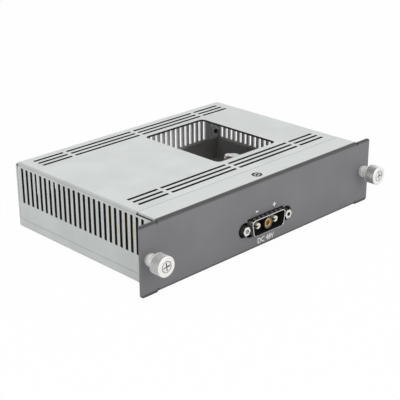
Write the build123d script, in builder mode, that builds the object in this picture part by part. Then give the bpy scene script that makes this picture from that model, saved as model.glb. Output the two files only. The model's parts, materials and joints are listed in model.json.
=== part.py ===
"""A plug-in power supply in a folded sheet enclosure, with two captive thumbscrews and a power connector.

The origin is the centre of the flat underside. +X is to the right seen from the front, +Y runs back into
the enclosure and +Z is up. A "depth" is counted back from the front panel's face, so a negative depth
lies in front of it.
"""

from math import radians, tan
import os

from build123d import *

# Enclosure
box_width = 159.2
box_depth = 115.2
box_height = 39.0
sheet = 1.2
bend = 1.8
sheet_gap = 0.15
flange_depth = 14.3
tray_strip = 5.5
lip_width = 140.0
lip_start = 3.2
joggle = 1.8

# Front panel
panel_width = 180.2
ear_step = 0.2
ear_radius = 1.6
relief_width = 0.7
relief_height = 2.3
flange_width = 157.0

# Slots and the opening of the cover
slot_width = 2.0
slot_pitch = 4.16
side_slot_low = 16.0
side_slot_margin = 2.4
side_slot_front = 8.6
side_slot_rear = 4.7
rear_slots_right = 12
rear_slots_left = 6
last_rear_slot = 66.56
top_slot_width = 1.9
top_rows = 3
front_rows_middle = 25.1
rear_rows_inset = 11.0
top_slot_reach = 72.1
top_slot_bridge = 2.4
top_slot_split = 50.5
opening_width = 47.9
opening_x = 22.45
opening_front = 34.2
opening_rear = 19.8
opening_radius = 3.0
corner_seam = 0.25
relief_hole = 0.9

# Tabs of the tray inside the cover, and the rear corner screws
tab_width = 12.0
tab_top = 12.0
tab_depths = (26.0, 59.0, 92.0)
corner_x = 74.4
corner_z = 20.6
corner_tab_width = 6.6
corner_tab_top = 27.0
press_nut_radius = 2.7
press_nut_shank = 2.1
press_nut_length = 1.6

# Countersunk and pan head screws
screw_radius = 1.5
screw_play = 0.15
thread_play = 0.05
flange_screw_depth = 6.8
countersunk_head = 2.8
countersunk_length = 5.2
pan_head = 2.7
pan_height = 1.7
pan_shank = 5.2
recess_arm = 0.7
recess_reach = 1.6
recess_depth = 0.8

# Captive thumbscrews
thumb_inset = 5.8
thumb_z = 20.0
ferrule_radius = 3.4
ferrule_front = -7.0
ferrule_shank = 3.1
ferrule_tail = 0.3
ferrule_bore = 2.6
ferrule_lip = 0.8
lip_play = 0.2
thumb_screw_radius = 1.75
thumb_tip = 1.0
thumb_point = 0.6
knob_radius = 5.45
knob_length = 7.4
knob_rear = -5.2
knob_web = 1.6
knob_play = 0.3
knob_bevel = 0.8
head_radius = 3.3
head_height = 0.9
head_sunk = 0.1
head_recess = 0.9
head_recess_reach = 2.1
head_recess_turn = 25
head_recess_taper = 12
ring_radius = 2.4
ring_thickness = 0.5
ring_play = 0.1
spring_wire = 0.2
spring_turns = 5
spring_play = 0.15

# Power connector
connector_z = 13.5
lock_spacing = 33.32
shell_width = 27.2
shell_height = 9.7
shell_slant = 10.0
shell_radius = 2.4
shell_wall = 0.5
shell_front = -2.8
plate_depth = 3.2
plate_thickness = 0.9
plate_width = 39.2
plate_height = 12.0
plate_radius = 1.2
insulator_front = 2.4
insulator_rear = 13.0
insulator_width = 24.0
contact_pitch = 6.9
pin_radius = 1.7
pin_setback = 1.6
tail_radius = 1.1
tail_rear = 15.4
tail_bend = 1.3
collar_radius = 3.1
collar_bore = 2.5
collar_flat = 2.7
collar_front = -2.0
socket_front = -1.8
socket_radius = 2.4
socket_bore = 1.6
socket_depth = 3.8
cutout_width = 28.8
cutout_height = 11.0
cutout_end = 4.4
lock_flats = 4.75
lock_front = -2.1
lock_bore = 1.2
lock_bore_depth = 4.0
lock_shank = 1.4
lock_chamfer = 0.15
bracket_plate = 0.9
bracket_width = 7.0
bracket_foot = 8.0
lock_nut_radius = 2.9
lock_nut_length = 2.0

# Insulating film, circuit board and its standoffs
film = 0.4
film_width = 153.6
film_front = 18.5
film_top = 15.4
film_setback = 0.2
board_bottom = 6.0
board = 1.6
board_width = 148.0
board_front = 4.7
layout_depth = 107.0
notch_depth = 70.0
board_inner_edge = -6.0
board_rear_gap = 8.2
standoff_radius = 2.5
standoff_foot = 2.1
standoff_floor = 0.6
standoff_hole = 3.2
standoff_inset = 5.0

# Components on the board
lead_below = 1.2
choke_layout = (37.0, 58.0)
choke_radius = 9.5
choke_height = 15.2
output_choke_layout = (-24.0, 84.0)
output_choke_radius = 10.0
output_choke_height = 12.0
choke_hole = 3.6
winding_wall = 1.4
lump_offset = (6.5, 8.5)
lump_length = 10.5
lump_width = 5.6
lump_turn = 140
lump_rise = 1.5
lump_hang = 2.2
lump_radius = 1.2
capacitor_radius = 8.5
capacitor_height = 25.0
capacitor_layout = ((-12.5, 44.0), (-12.5, 63.0))
small_capacitor_radius = 4.0
small_capacitor_height = 15.0
capacitor_groove = 0.4
groove_height = 1.0
core_layout = (-53.0, 62.0)
core_length = 34.0
core_width = 14.0
core_leg = 6.5
core_back = 5.2
window_width = 5.3
core_height = 24.0
winding_width = 24.0
winding_radius = 2.0
winding_play = 0.4
core_rise = 1.0
bobbin_wall = 0.8
heatsink_layout = (-33.0, 36.0)
heatsink_gap = 1.0
heatsink_height = 23.0
heatsink_web = 2.2
heatsink_fin = 1.2
heatsink_fin_reach = 6.0
heatsink_fins = 5
transistor_width = 10.2
transistor_body = 9.2
transistor_tab = 15.6
transistor_thickness = 4.4
transistor_plate = 1.2
transistor_rise = 3.0
transistor_pitch = 16.0
transistor_hole = 3.0
film_block_length = 17.0
film_block_width = 8.0
film_block_height = 15.0
film_block_radius = 0.8
film_block_layout = ((-60.0, 31.0), (-60.0, 41.0), (16.0, 48.0), (16.0, 58.0))
fuse_layout = (50.0, 27.0)
fuse_radius = 2.5
fuse_length = 20.0
fuse_cap = 5.0
fuse_rise = 4.2
clip_plate = 0.4
clip_width = 3.4
control_x = -40.0
control_inset = 19.0
control_length = 14.0
control_height = 16.0
control_plate = 1.2
control_rise = 3.0
header_height = 6.0

# Rear connector and earth stud
rear_x = -12.5
rear_z = 13.6
rear_width = 42.0
rear_height = 11.0
rear_radius = 1.2
rear_inset = 11.7
rear_proud = 0.7
rear_wall = 1.4
rear_floor = 3.0
rear_ear = 6.5
rear_play = 0.3
blade_places = (-16.0, -9.0, 9.0, 16.0)
blade_thickness = 1.2
blade_height = 6.4
blade_setback = 1.6
blade_leg = 4.8
signal_pitch = 2.54
signal_columns = 4
signal_side = 0.64
signal_setback = 3.2
earth_layout = (66.0, 84.0)
earth_radius = 2.0
earth_height = 9.0
earth_chamfer = 0.4
earth_flats = 7.0
earth_nut_height = 3.0

# Values that follow from the ones above
front_y = -box_depth / 2
side_slot_high = box_height - side_slot_margin
side_slots = 1 + int((box_depth - side_slot_front - side_slot_rear - slot_width) / slot_pitch)
side_slot_middle = side_slot_front + slot_width / 2 + (side_slots - 1) * slot_pitch / 2
opening_length = box_depth - opening_front - opening_rear
opening_middle = opening_front + opening_length / 2
thumb_x = panel_width / 2 - thumb_inset
rear_start = box_depth - rear_inset
board_rear = box_depth - board_rear_gap
control_place = (control_x, board_rear - control_inset)
standoff_rear = board_rear - standoff_inset
half_width = box_width / 2
inner_side = half_width - sheet
wall_start = sheet + sheet_gap
board_top = board_bottom + board
panel_middle = box_height / 2
lip_face = box_height - sheet - sheet_gap
tab_rear_depth = box_depth - sheet - sheet_gap
film_level = sheet + sheet_gap
film_rear = tab_rear_depth - sheet - film_setback
lock_x = lock_spacing / 2
knob_front = knob_rear - knob_length
rear_screw_places = [(rear_x + side * (rear_width + rear_ear) / 2, rear_z) for side in (-1, 1)]
ferrule_end = sheet + ferrule_tail



def spread(*layout):
    """Places given for a board that reaches back to layout_depth, spread over the board as it is."""
    return [(x, depth * board_rear / layout_depth) for x, depth in layout]


# Places on the board, as x and depth
board_notch = notch_depth * board_rear / layout_depth
standoff_places = [
    *spread((-69, 22), (69, 22), (69, 65), (0, 32)),
    (-69, standoff_rear),
    (-11, standoff_rear - 2 * standoff_inset),
]
small_capacitor_places = [
    *spread((60, 52), (60, 41)),
    (-60, standoff_rear - small_capacitor_radius),
    (-48, standoff_rear - small_capacitor_radius),
]
capacitor_places = spread(*capacitor_layout)
film_block_places = spread(*film_block_layout)
choke_place, output_choke_place, core_place, heatsink_place, fuse_place, earth_place = spread(
    choke_layout, output_choke_layout, core_layout, heatsink_layout, fuse_layout, earth_layout
)
lump_place = (choke_place[0] + lump_offset[0], choke_place[1] + lump_offset[1])
heatsink_length = 2 * (core_place[1] - core_width / 2 - heatsink_gap - heatsink_place[1])

os.makedirs("parts", exist_ok=True)


def back(depth):
    """The y of a place that lies this far behind the face of the front panel."""
    return front_y + depth


def upright(depth):
    """A plane across the enclosure, seen from the front: local x is +X and local y is +Z."""
    return Plane(origin=(0, back(depth), 0), x_dir=(1, 0, 0), z_dir=(0, -1, 0))


def sideways(x):
    """A plane along the enclosure, seen from the right: local x is +Y and local y is +Z."""
    return Plane(origin=(x, 0, 0), x_dir=(0, 1, 0), z_dir=(1, 0, 0))


def level(z):
    """A plane parallel to the floor."""
    return Plane.XY.offset(z)


def flat(place):
    """A place on the board, given as x and depth, in the coordinates of a level plane."""
    return (place[0], back(place[1]))


def spindle(x, z):
    """A plane through a fore and aft axis at (x, z): local x is the radius and local y is the depth."""
    return Plane(origin=(x, front_y, z), x_dir=(1, 0, 0), z_dir=(0, 0, 1))


def along(x, z):
    """The fore and aft axis at (x, z)."""
    return Axis((x, front_y, z), (0, 1, 0))


def save(builder, name):
    """Label a finished piece and write it to the file of the same name."""
    builder.part.label = name
    export_step(builder.part, f"parts/{name}.step")


def shell_outline(inset):
    """The D outline of the connector, wide side up, drawn inside the shell's outer face by inset."""
    half_top = shell_width / 2
    half_bottom = half_top - shell_height * tan(radians(shell_slant))
    with BuildSketch(mode=Mode.PRIVATE) as outline:
        with BuildLine():
            Polyline(
                (-half_top, shell_height / 2),
                (half_top, shell_height / 2),
                (half_bottom, -shell_height / 2),
                (-half_bottom, -shell_height / 2),
                close=True,
            )
        make_face()
        fillet(outline.vertices(), shell_radius)
        if inset > 0:
            offset(amount=-inset, mode=Mode.REPLACE)
    return outline.sketch


# Front panel: a face with two ears, and a flange turned back along its top and its bottom edge
with BuildPart() as front_panel:
    with BuildSketch(upright(0)):
        with Locations((0, panel_middle)):
            RectangleRounded(panel_width, box_height - 2 * ear_step, ear_radius)
        with Locations((0, 0), (0, box_height)):
            Rectangle(flange_width + 2 * relief_width, 2 * relief_height, mode=Mode.SUBTRACT)
    extrude(amount=-sheet)
    with BuildSketch(sideways(-flange_width / 2)):
        with Locations((back(flange_depth), panel_middle)):
            RectangleRounded(2 * flange_depth, box_height, bend)
            RectangleRounded(
                2 * (flange_depth - sheet),
                box_height - 2 * sheet,
                bend - sheet,
                mode=Mode.SUBTRACT,
            )
        with Locations((back(1.5 * flange_depth), panel_middle)):
            Rectangle(flange_depth, box_height, mode=Mode.SUBTRACT)
    extrude(amount=flange_width)
    with BuildSketch(upright(0)):
        with Locations((0, connector_z)):
            Rectangle(cutout_width, cutout_height)
        with Locations((-lock_x, connector_z), (lock_x, connector_z)):
            Circle(cutout_end)
        with Locations((-thumb_x, thumb_z), (thumb_x, thumb_z)):
            Circle(ferrule_shank)
    extrude(amount=-sheet, mode=Mode.SUBTRACT)
    for screw_plane in (level(box_height), Plane.XY.rotated((180, 0, 0))):
        screw_y = back(flange_screw_depth) * screw_plane.y_dir.Y
        with Locations(screw_plane):
            with Locations((0, screw_y)):
                CounterSinkHole(screw_radius + screw_play, countersunk_head + screw_play, depth=2 * sheet)
save(front_panel, "front_panel")


# Cover: top, two sides and back in one sheet, with a joggled lip that slides under the panel's top flange
cover_bottom = tray_strip + sheet_gap
with BuildPart() as top_cover:
    with BuildSketch(upright(wall_start)):
        with Locations((0, (cover_bottom + box_height) / 2)):
            Rectangle(box_width, box_height - cover_bottom)
    extrude(amount=wall_start - box_depth)
    roof_edges = top_cover.faces().sort_by(Axis.Z)[-1].edges()
    fillet(roof_edges.filter_by(Axis.Y) + roof_edges.filter_by(Axis.X).sort_by(Axis.Y)[-1:], bend)
    open_faces = top_cover.faces().sort_by(Axis.Z)[:1] + top_cover.faces().sort_by(Axis.Y)[:1]
    offset(amount=-sheet, openings=open_faces)
    with BuildSketch(level(lip_face)):
        with Locations(flat((0, (flange_depth + sheet_gap) / 2))):
            Rectangle(2 * box_width, flange_depth + sheet_gap)
    extrude(amount=2 * sheet, mode=Mode.SUBTRACT)
    with BuildSketch(sideways(-lip_width / 2)):
        with BuildLine():
            Polyline(
                (back(lip_start), lip_face - sheet),
                (back(flange_depth + sheet), lip_face - sheet),
                (back(flange_depth + sheet + joggle), box_height - sheet),
                (back(flange_depth + sheet_gap), box_height - sheet),
                (back(flange_depth + sheet_gap), lip_face),
                (back(lip_start), lip_face),
                close=True,
            )
        make_face()
    extrude(amount=lip_width)
    with BuildSketch(level(lip_face)):
        with Locations(flat((0, flange_screw_depth))):
            Circle(press_nut_shank)
    extrude(amount=-2 * sheet, mode=Mode.SUBTRACT)
    with BuildSketch(sideways(-box_width)):
        with Locations((back(side_slot_middle), (side_slot_low + side_slot_high) / 2)):
            with GridLocations(slot_pitch, 0, side_slots, 1):
                Rectangle(slot_width, side_slot_high - side_slot_low)
    extrude(amount=2 * box_width, mode=Mode.SUBTRACT)
    with BuildSketch(upright(box_depth)):
        for slot in range(rear_slots_right):
            with Locations((last_rear_slot - slot * slot_pitch, (side_slot_low + side_slot_high) / 2)):
                Rectangle(slot_width, side_slot_high - side_slot_low)
        for slot in range(rear_slots_left):
            with Locations((slot * slot_pitch - last_rear_slot, (side_slot_low + side_slot_high) / 2)):
                Rectangle(slot_width, side_slot_high - side_slot_low)
        with Locations((rear_x, rear_z)):
            Rectangle(rear_width + 2 * rear_play, rear_height + 2 * rear_play)
        with Locations((-corner_x, corner_z), (corner_x, corner_z)):
            Circle(screw_radius + screw_play)
        with Locations(rear_screw_places):
            Circle(screw_radius + screw_play)
    extrude(amount=2 * sheet, mode=Mode.SUBTRACT)
    inner_slot = 2 * top_slot_split - top_slot_bridge
    outer_slot = top_slot_reach - top_slot_split - top_slot_bridge / 2
    with BuildSketch(level(box_height)):
        for rows_middle in (front_rows_middle, box_depth - rear_rows_inset):
            with Locations((0, back(rows_middle))):
                with GridLocations(2 * (top_slot_reach - outer_slot / 2), slot_pitch, 2, top_rows):
                    Rectangle(outer_slot, top_slot_width)
                with GridLocations(top_slot_split, slot_pitch, 2, top_rows):
                    Rectangle(top_slot_split - top_slot_bridge, top_slot_width)
        with Locations((opening_x, back(opening_middle))):
            RectangleRounded(opening_width, opening_length, opening_radius)
    extrude(amount=-2 * sheet, mode=Mode.SUBTRACT)
    seam_depth = box_depth - sheet - corner_seam
    with BuildSketch(level(0)):
        with Locations((0, back(seam_depth + corner_seam / 2))):
            Rectangle(2 * box_width, corner_seam)
            Rectangle(2 * inner_side, corner_seam, mode=Mode.SUBTRACT)
    extrude(amount=box_height - bend, mode=Mode.SUBTRACT)
    with BuildSketch(sideways(-box_width)):
        with Locations((back(seam_depth), box_height - bend)):
            Circle(relief_hole)
    extrude(amount=2 * box_width, mode=Mode.SUBTRACT)
save(top_cover, "top_cover")


# Chassis tray: a floor with low side and rear strips, a front lip, and tabs that rise inside the cover
with BuildPart() as chassis_tray:
    with BuildSketch(upright(wall_start)):
        with Locations((0, tray_strip / 2)):
            Rectangle(box_width, tray_strip)
    extrude(amount=wall_start - box_depth)
    floor_edges = chassis_tray.faces().sort_by(Axis.Z)[0].edges()
    fillet(floor_edges.filter_by(Axis.Y) + floor_edges.filter_by(Axis.X).sort_by(Axis.Y)[-1:], bend)
    open_faces = chassis_tray.faces().sort_by(Axis.Z)[-1:] + chassis_tray.faces().sort_by(Axis.Y)[:1]
    offset(amount=-sheet, openings=open_faces)
    with BuildSketch(level(-sheet)):
        with Locations(flat((0, (flange_depth + sheet_gap) / 2))):
            Rectangle(2 * box_width, flange_depth + sheet_gap)
    extrude(amount=2 * sheet + sheet_gap, mode=Mode.SUBTRACT)
    with BuildSketch(sideways(-lip_width / 2)):
        with BuildLine():
            Polyline(
                (back(lip_start), 2 * sheet + sheet_gap),
                (back(flange_depth + sheet), 2 * sheet + sheet_gap),
                (back(flange_depth + sheet + joggle), sheet),
                (back(flange_depth + sheet_gap), sheet),
                (back(flange_depth + sheet_gap), sheet + sheet_gap),
                (back(lip_start), sheet + sheet_gap),
                close=True,
            )
        make_face()
    extrude(amount=lip_width)
    with BuildSketch(level(sheet)):
        with Locations(flat((0, flange_screw_depth))):
            Circle(press_nut_shank)
    extrude(amount=2 * sheet, mode=Mode.SUBTRACT)
    tab_face = inner_side - sheet_gap
    for tab_depth in tab_depths:
        with BuildSketch(upright(tab_depth - tab_width / 2)):
            with BuildLine():
                Polyline(
                    (inner_side + sheet / 2, tray_strip - sheet),
                    (tab_face, tray_strip),
                    (tab_face, tab_top),
                    (tab_face - sheet, tab_top),
                    (tab_face - sheet, tray_strip - sheet / 2),
                    (inner_side, tray_strip - 2 * sheet),
                    (inner_side + sheet / 2, tray_strip - 2 * sheet),
                    close=True,
                )
            make_face()
            mirror(about=Plane.YZ)
        extrude(amount=-tab_width)
    for side in (-1, 1):
        with BuildSketch(sideways(side * corner_x - corner_tab_width / 2)):
            with BuildLine():
                Polyline(
                    (back(box_depth - sheet / 2), tray_strip - sheet),
                    (back(tab_rear_depth), tray_strip),
                    (back(tab_rear_depth), corner_tab_top),
                    (back(tab_rear_depth - sheet), corner_tab_top),
                    (back(tab_rear_depth - sheet), tray_strip - sheet / 2),
                    (back(box_depth - sheet), tray_strip - 2 * sheet),
                    (back(box_depth - sheet / 2), tray_strip - 2 * sheet),
                    close=True,
                )
            make_face()
        extrude(amount=corner_tab_width)
    with BuildSketch(upright(tab_rear_depth + sheet_gap / 2)):
        with Locations((-corner_x, corner_z), (corner_x, corner_z)):
            Circle(press_nut_shank)
    extrude(amount=2 * sheet, mode=Mode.SUBTRACT)
    with BuildSketch(level(-sheet)):
        with Locations([flat(place) for place in standoff_places]):
            Circle(standoff_foot)
        with Locations(flat(earth_place)):
            Circle(earth_radius)
    extrude(amount=3 * sheet, mode=Mode.SUBTRACT)
save(chassis_tray, "chassis_tray")


# Countersunk screws of the top and the bottom flange, and the press nuts that they reach
with BuildPart() as flange_screws:
    with BuildSketch(sideways(0)):
        with BuildLine():
            Polyline(
                (back(flange_screw_depth), box_height),
                (back(flange_screw_depth) + countersunk_head, box_height),
                (back(flange_screw_depth) + screw_radius, box_height - countersunk_head + screw_radius),
                (back(flange_screw_depth) + screw_radius, box_height - countersunk_length),
                (back(flange_screw_depth), box_height - countersunk_length),
                close=True,
            )
        make_face()
    revolve(axis=Axis((0, back(flange_screw_depth), 0), (0, 0, 1)))
    with BuildSketch(level(box_height)):
        with Locations((0, back(flange_screw_depth))):
            Rectangle(2 * recess_reach, recess_arm)
            Rectangle(recess_arm, 2 * recess_reach)
    extrude(amount=-recess_depth, mode=Mode.SUBTRACT)
    mirror(about=level(panel_middle))
save(flange_screws, "flange_screws")

with BuildPart() as press_nuts:
    with BuildSketch(level(lip_face)):
        with Locations((0, back(flange_screw_depth))):
            Circle(press_nut_shank)
            Circle(screw_radius + thread_play, mode=Mode.SUBTRACT)
    extrude(amount=-sheet)
    with BuildSketch(level(lip_face - sheet)):
        with Locations((0, back(flange_screw_depth))):
            Circle(press_nut_radius)
            Circle(screw_radius + thread_play, mode=Mode.SUBTRACT)
    extrude(amount=-press_nut_length)
    mirror(about=level(panel_middle))
    with BuildSketch(upright(tab_rear_depth)):
        with Locations((-corner_x, corner_z), (corner_x, corner_z)):
            Circle(press_nut_shank)
            Circle(screw_radius + thread_play, mode=Mode.SUBTRACT)
    extrude(amount=sheet)
    with BuildSketch(upright(tab_rear_depth - sheet)):
        with Locations((-corner_x, corner_z), (corner_x, corner_z)):
            Circle(press_nut_radius)
            Circle(screw_radius + thread_play, mode=Mode.SUBTRACT)
    extrude(amount=press_nut_length)
save(press_nuts, "press_nuts")

# Pan head screws at the two rear corners
with BuildPart() as rear_corner_screws:
    with BuildSketch(upright(box_depth)):
        with Locations((-corner_x, corner_z), (corner_x, corner_z)):
            Circle(pan_head)
    extrude(amount=-pan_height)
    fillet(rear_corner_screws.faces().sort_by(Axis.Y)[-2:].edges(), pan_height / 2)
    with BuildSketch(upright(box_depth)):
        with Locations((-corner_x, corner_z), (corner_x, corner_z)):
            Circle(screw_radius)
    extrude(amount=pan_shank)
    with BuildSketch(upright(box_depth + pan_height)):
        with Locations((-corner_x, corner_z), (corner_x, corner_z)):
            Rectangle(2 * recess_reach, recess_arm)
            Rectangle(recess_arm, 2 * recess_reach)
    extrude(amount=recess_depth, mode=Mode.SUBTRACT)
save(rear_corner_screws, "rear_corner_screws")


# Captive thumbscrews: a ferrule in each ear, with a ring and a spring inside it, and a knob on its screw
bore_front = ferrule_front + ferrule_lip
bore_rear = ferrule_end - ferrule_lip
ring_front = bore_front + ring_play
ring_rear = ring_front + ring_thickness
knob_floor = knob_front + knob_web
head_front = knob_front + head_sunk
for side, x in (("left", -thumb_x), ("right", thumb_x)):
    with BuildPart() as thumbscrew_ferrule:
        with BuildSketch(spindle(x, thumb_z)):
            with BuildLine():
                Polyline(
                    (thumb_screw_radius + lip_play, ferrule_front),
                    (ferrule_radius, ferrule_front),
                    (ferrule_radius, 0),
                    (ferrule_shank, 0),
                    (ferrule_shank, ferrule_end),
                    (thumb_screw_radius + lip_play, ferrule_end),
                    (thumb_screw_radius + lip_play, bore_rear),
                    (ferrule_bore, bore_rear),
                    (ferrule_bore, bore_front),
                    (thumb_screw_radius + lip_play, bore_front),
                    close=True,
                )
            make_face()
        revolve(axis=along(x, thumb_z))
    save(thumbscrew_ferrule, f"thumbscrew_ferrule_{side}")

    with BuildPart() as thumbscrew_knob:
        with BuildSketch(spindle(x, thumb_z)):
            with BuildLine():
                Polyline(
                    (thumb_screw_radius, knob_floor),
                    (ferrule_radius + knob_play, knob_floor),
                    (ferrule_radius + knob_play, knob_rear),
                    (knob_radius - knob_bevel, knob_rear),
                    (knob_radius, knob_rear - knob_bevel),
                    (knob_radius, knob_front + knob_bevel / 2),
                    (knob_radius - knob_bevel / 2, knob_front),
                    (head_radius, knob_front),
                    (head_radius, head_front + head_height),
                    (thumb_screw_radius, head_front + head_height),
                    close=True,
                )
            make_face()
        revolve(axis=along(x, thumb_z))
    save(thumbscrew_knob, f"thumbscrew_knob_{side}")

    with BuildPart() as thumbscrew_screw:
        with BuildSketch(spindle(x, thumb_z)):
            with BuildLine():
                Polyline(
                    (0, head_front),
                    (head_radius - head_sunk, head_front),
                    (head_radius, head_front + head_sunk),
                    (head_radius, head_front + head_height),
                    (thumb_screw_radius, head_front + head_height),
                    (thumb_screw_radius, thumb_tip - thumb_point),
                    (thumb_screw_radius - thumb_point, thumb_tip),
                    (0, thumb_tip),
                    close=True,
                )
            make_face()
        revolve(axis=along(x, thumb_z))
        with BuildSketch(upright(head_front)):
            with Locations((x, thumb_z)):
                Rectangle(2 * head_recess_reach, head_recess, rotation=head_recess_turn)
                Rectangle(head_recess, 2 * head_recess_reach, rotation=head_recess_turn)
        extrude(amount=-head_height, taper=head_recess_taper, mode=Mode.SUBTRACT)
    save(thumbscrew_screw, f"thumbscrew_screw_{side}")

    with BuildPart() as thumbscrew_ring:
        with BuildSketch(upright(ring_front)):
            with Locations((x, thumb_z)):
                Circle(ring_radius)
                Circle(thumb_screw_radius + ring_play / 2, mode=Mode.SUBTRACT)
        extrude(amount=-ring_thickness)
    save(thumbscrew_ring, f"thumbscrew_ring_{side}")

    spring_start = ring_rear + spring_wire + spring_play
    spring_length = bore_rear - spring_play - spring_wire - spring_start
    spring_middle_radius = (thumb_screw_radius + ferrule_bore) / 2
    with BuildPart() as thumbscrew_spring:
        with BuildLine():
            coil = Helix(
                spring_length / spring_turns,
                spring_length,
                spring_middle_radius,
                center=(x, back(spring_start), thumb_z),
                direction=(0, 1, 0),
            )
        with BuildSketch(Plane(origin=coil @ 0, z_dir=coil % 0)):
            Circle(spring_wire)
        sweep(is_frenet=True)
    save(thumbscrew_spring, f"thumbscrew_spring_{side}")


# Power connector: a plate with a D-shaped shell, held to two brackets on the board by hexagonal screwlocks
with BuildPart() as connector_shell:
    with BuildSketch(upright(plate_depth)):
        with Locations((0, connector_z)):
            RectangleRounded(plate_width, plate_height, plate_radius)
            add(shell_outline(shell_wall), mode=Mode.SUBTRACT)
        with Locations((-lock_x, connector_z), (lock_x, connector_z)):
            Circle(lock_shank + screw_play, mode=Mode.SUBTRACT)
    extrude(amount=-plate_thickness)
    with BuildSketch(upright(shell_front)):
        with Locations((0, connector_z)):
            add(shell_outline(0))
            add(shell_outline(shell_wall), mode=Mode.SUBTRACT)
    extrude(amount=shell_front - plate_depth)
save(connector_shell, "connector_shell")

insulator_low = connector_z - board_top
with BuildPart() as connector_insulator:
    with BuildSketch(upright(insulator_front)):
        with Locations((0, connector_z)):
            add(shell_outline(shell_wall))
    extrude(amount=insulator_front - plate_depth - plate_thickness)
    with BuildSketch(upright(plate_depth + plate_thickness)):
        with Locations((0, board_top + insulator_low)):
            RectangleRounded(insulator_width, 2 * insulator_low, plate_radius)
    extrude(amount=plate_depth + plate_thickness - insulator_rear)
    with BuildSketch(upright(collar_front)):
        with Locations((0, connector_z)):
            Circle(collar_radius)
            with Locations((-collar_radius - collar_flat, 0)):
                Rectangle(2 * collar_radius, 3 * collar_radius, mode=Mode.SUBTRACT)
            Circle(collar_bore, mode=Mode.SUBTRACT)
    extrude(amount=collar_front - insulator_front)
    with BuildSketch(upright(insulator_front)):
        with Locations((-contact_pitch, connector_z), (0, connector_z), (contact_pitch, connector_z)):
            Circle(pin_radius)
    extrude(amount=insulator_front - insulator_rear, mode=Mode.SUBTRACT)
save(connector_insulator, "connector_insulator")


def contact(x, front, front_radius):
    """A contact that runs back through the insulator and bends down to the board behind it."""
    with BuildPart() as piece:
        with BuildSketch(upright(front)):
            with Locations((x, connector_z)):
                Circle(front_radius)
        extrude(amount=front - insulator_front)
        with BuildSketch(upright(insulator_front)):
            with Locations((x, connector_z)):
                Circle(pin_radius)
        extrude(amount=insulator_front - insulator_rear)
        with BuildLine() as tail:
            FilletPolyline(
                (x, back(insulator_rear - tail_radius), connector_z),
                (x, back(tail_rear), connector_z),
                (x, back(tail_rear), board_top - lead_below),
                radius=tail_bend,
            )
        with BuildSketch(Plane(origin=tail.line @ 0, z_dir=(0, 1, 0))):
            Circle(tail_radius)
        sweep(path=tail.line)
    return piece


contact_negative = contact(-contact_pitch, shell_front + pin_setback, pin_radius)
save(contact_negative, "contact_negative")
contact_positive = contact(contact_pitch, shell_front + pin_setback, pin_radius)
save(contact_positive, "contact_positive")

with BuildPart() as contact_middle:
    add(contact(0, socket_front, socket_radius).part)
    with BuildSketch(upright(socket_front)):
        with Locations((0, connector_z)):
            Circle(socket_bore)
    extrude(amount=-socket_depth, mode=Mode.SUBTRACT)
save(contact_middle, "contact_middle")

with BuildPart() as screwlocks:
    with BuildSketch(upright(lock_front)):
        with Locations((-lock_x, connector_z), (lock_x, connector_z)):
            RegularPolygon(lock_flats / 2, 6, major_radius=False)
    extrude(amount=lock_front - plate_depth)
    chamfer(screwlocks.faces().sort_by(Axis.Y)[:2].edges(), lock_chamfer)
    lock_end = plate_depth + plate_thickness + bracket_plate + lock_nut_length
    with BuildSketch(upright(plate_depth)):
        with Locations((-lock_x, connector_z), (lock_x, connector_z)):
            Circle(lock_shank)
    extrude(amount=plate_depth - lock_end)
    with BuildSketch(upright(lock_front)):
        with Locations((-lock_x, connector_z), (lock_x, connector_z)):
            Circle(lock_bore)
    extrude(amount=-lock_bore_depth, mode=Mode.SUBTRACT)
save(screwlocks, "screwlocks")

bracket_face = plate_depth + plate_thickness
with BuildPart() as connector_brackets:
    for x in (-lock_x, lock_x):
        with BuildSketch(sideways(x - bracket_width / 2)):
            with BuildLine():
                Polyline(
                    (back(bracket_face), board_top),
                    (back(bracket_face + bracket_foot), board_top),
                    (back(bracket_face + bracket_foot), board_top + bracket_plate),
                    (back(bracket_face + bracket_plate), board_top + bracket_plate),
                    (back(bracket_face + bracket_plate), connector_z + plate_height / 2),
                    (back(bracket_face), connector_z + plate_height / 2),
                    close=True,
                )
            make_face()
        extrude(amount=bracket_width)
    with BuildSketch(upright(bracket_face)):
        with Locations((-lock_x, connector_z), (lock_x, connector_z)):
            Circle(lock_shank + screw_play)
    extrude(amount=-bracket_plate, mode=Mode.SUBTRACT)
save(connector_brackets, "connector_brackets")

with BuildPart() as screwlock_nuts:
    with BuildSketch(upright(bracket_face + bracket_plate)):
        with Locations((-lock_x, connector_z), (lock_x, connector_z)):
            RegularPolygon(lock_nut_radius, 6, major_radius=False)
            Circle(lock_shank + thread_play, mode=Mode.SUBTRACT)
    extrude(amount=-lock_nut_length)
save(screwlock_nuts, "screwlock_nuts")


# Film on the floor, folded up inside the walls, with a gap for the rear connector
rear_reach = rear_width / 2 + rear_ear
with BuildPart() as insulating_film:
    with BuildSketch(level(film_level)):
        with Locations((0, back((film_front + film_rear) / 2))):
            Rectangle(film_width, film_rear - film_front)
    extrude(amount=film_top - film_level)
    open_faces = insulating_film.faces().sort_by(Axis.Z)[-1:] + insulating_film.faces().sort_by(Axis.Y)[:1]
    offset(amount=-film, openings=open_faces, kind=Kind.INTERSECTION)
    with BuildSketch(upright(film_rear - film)):
        with Locations((rear_x, film_top)):
            Rectangle(2 * (rear_reach + film), 2 * (film_top - board_bottom))
    extrude(amount=-2 * film, mode=Mode.SUBTRACT)
    with BuildSketch(level(film_level)):
        with Locations([flat(place) for place in standoff_places]):
            Circle(standoff_hole)
        with Locations(flat(earth_place)):
            Circle(standoff_hole + earth_radius)
    extrude(amount=film, mode=Mode.SUBTRACT)
save(insulating_film, "insulating_film")


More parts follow.
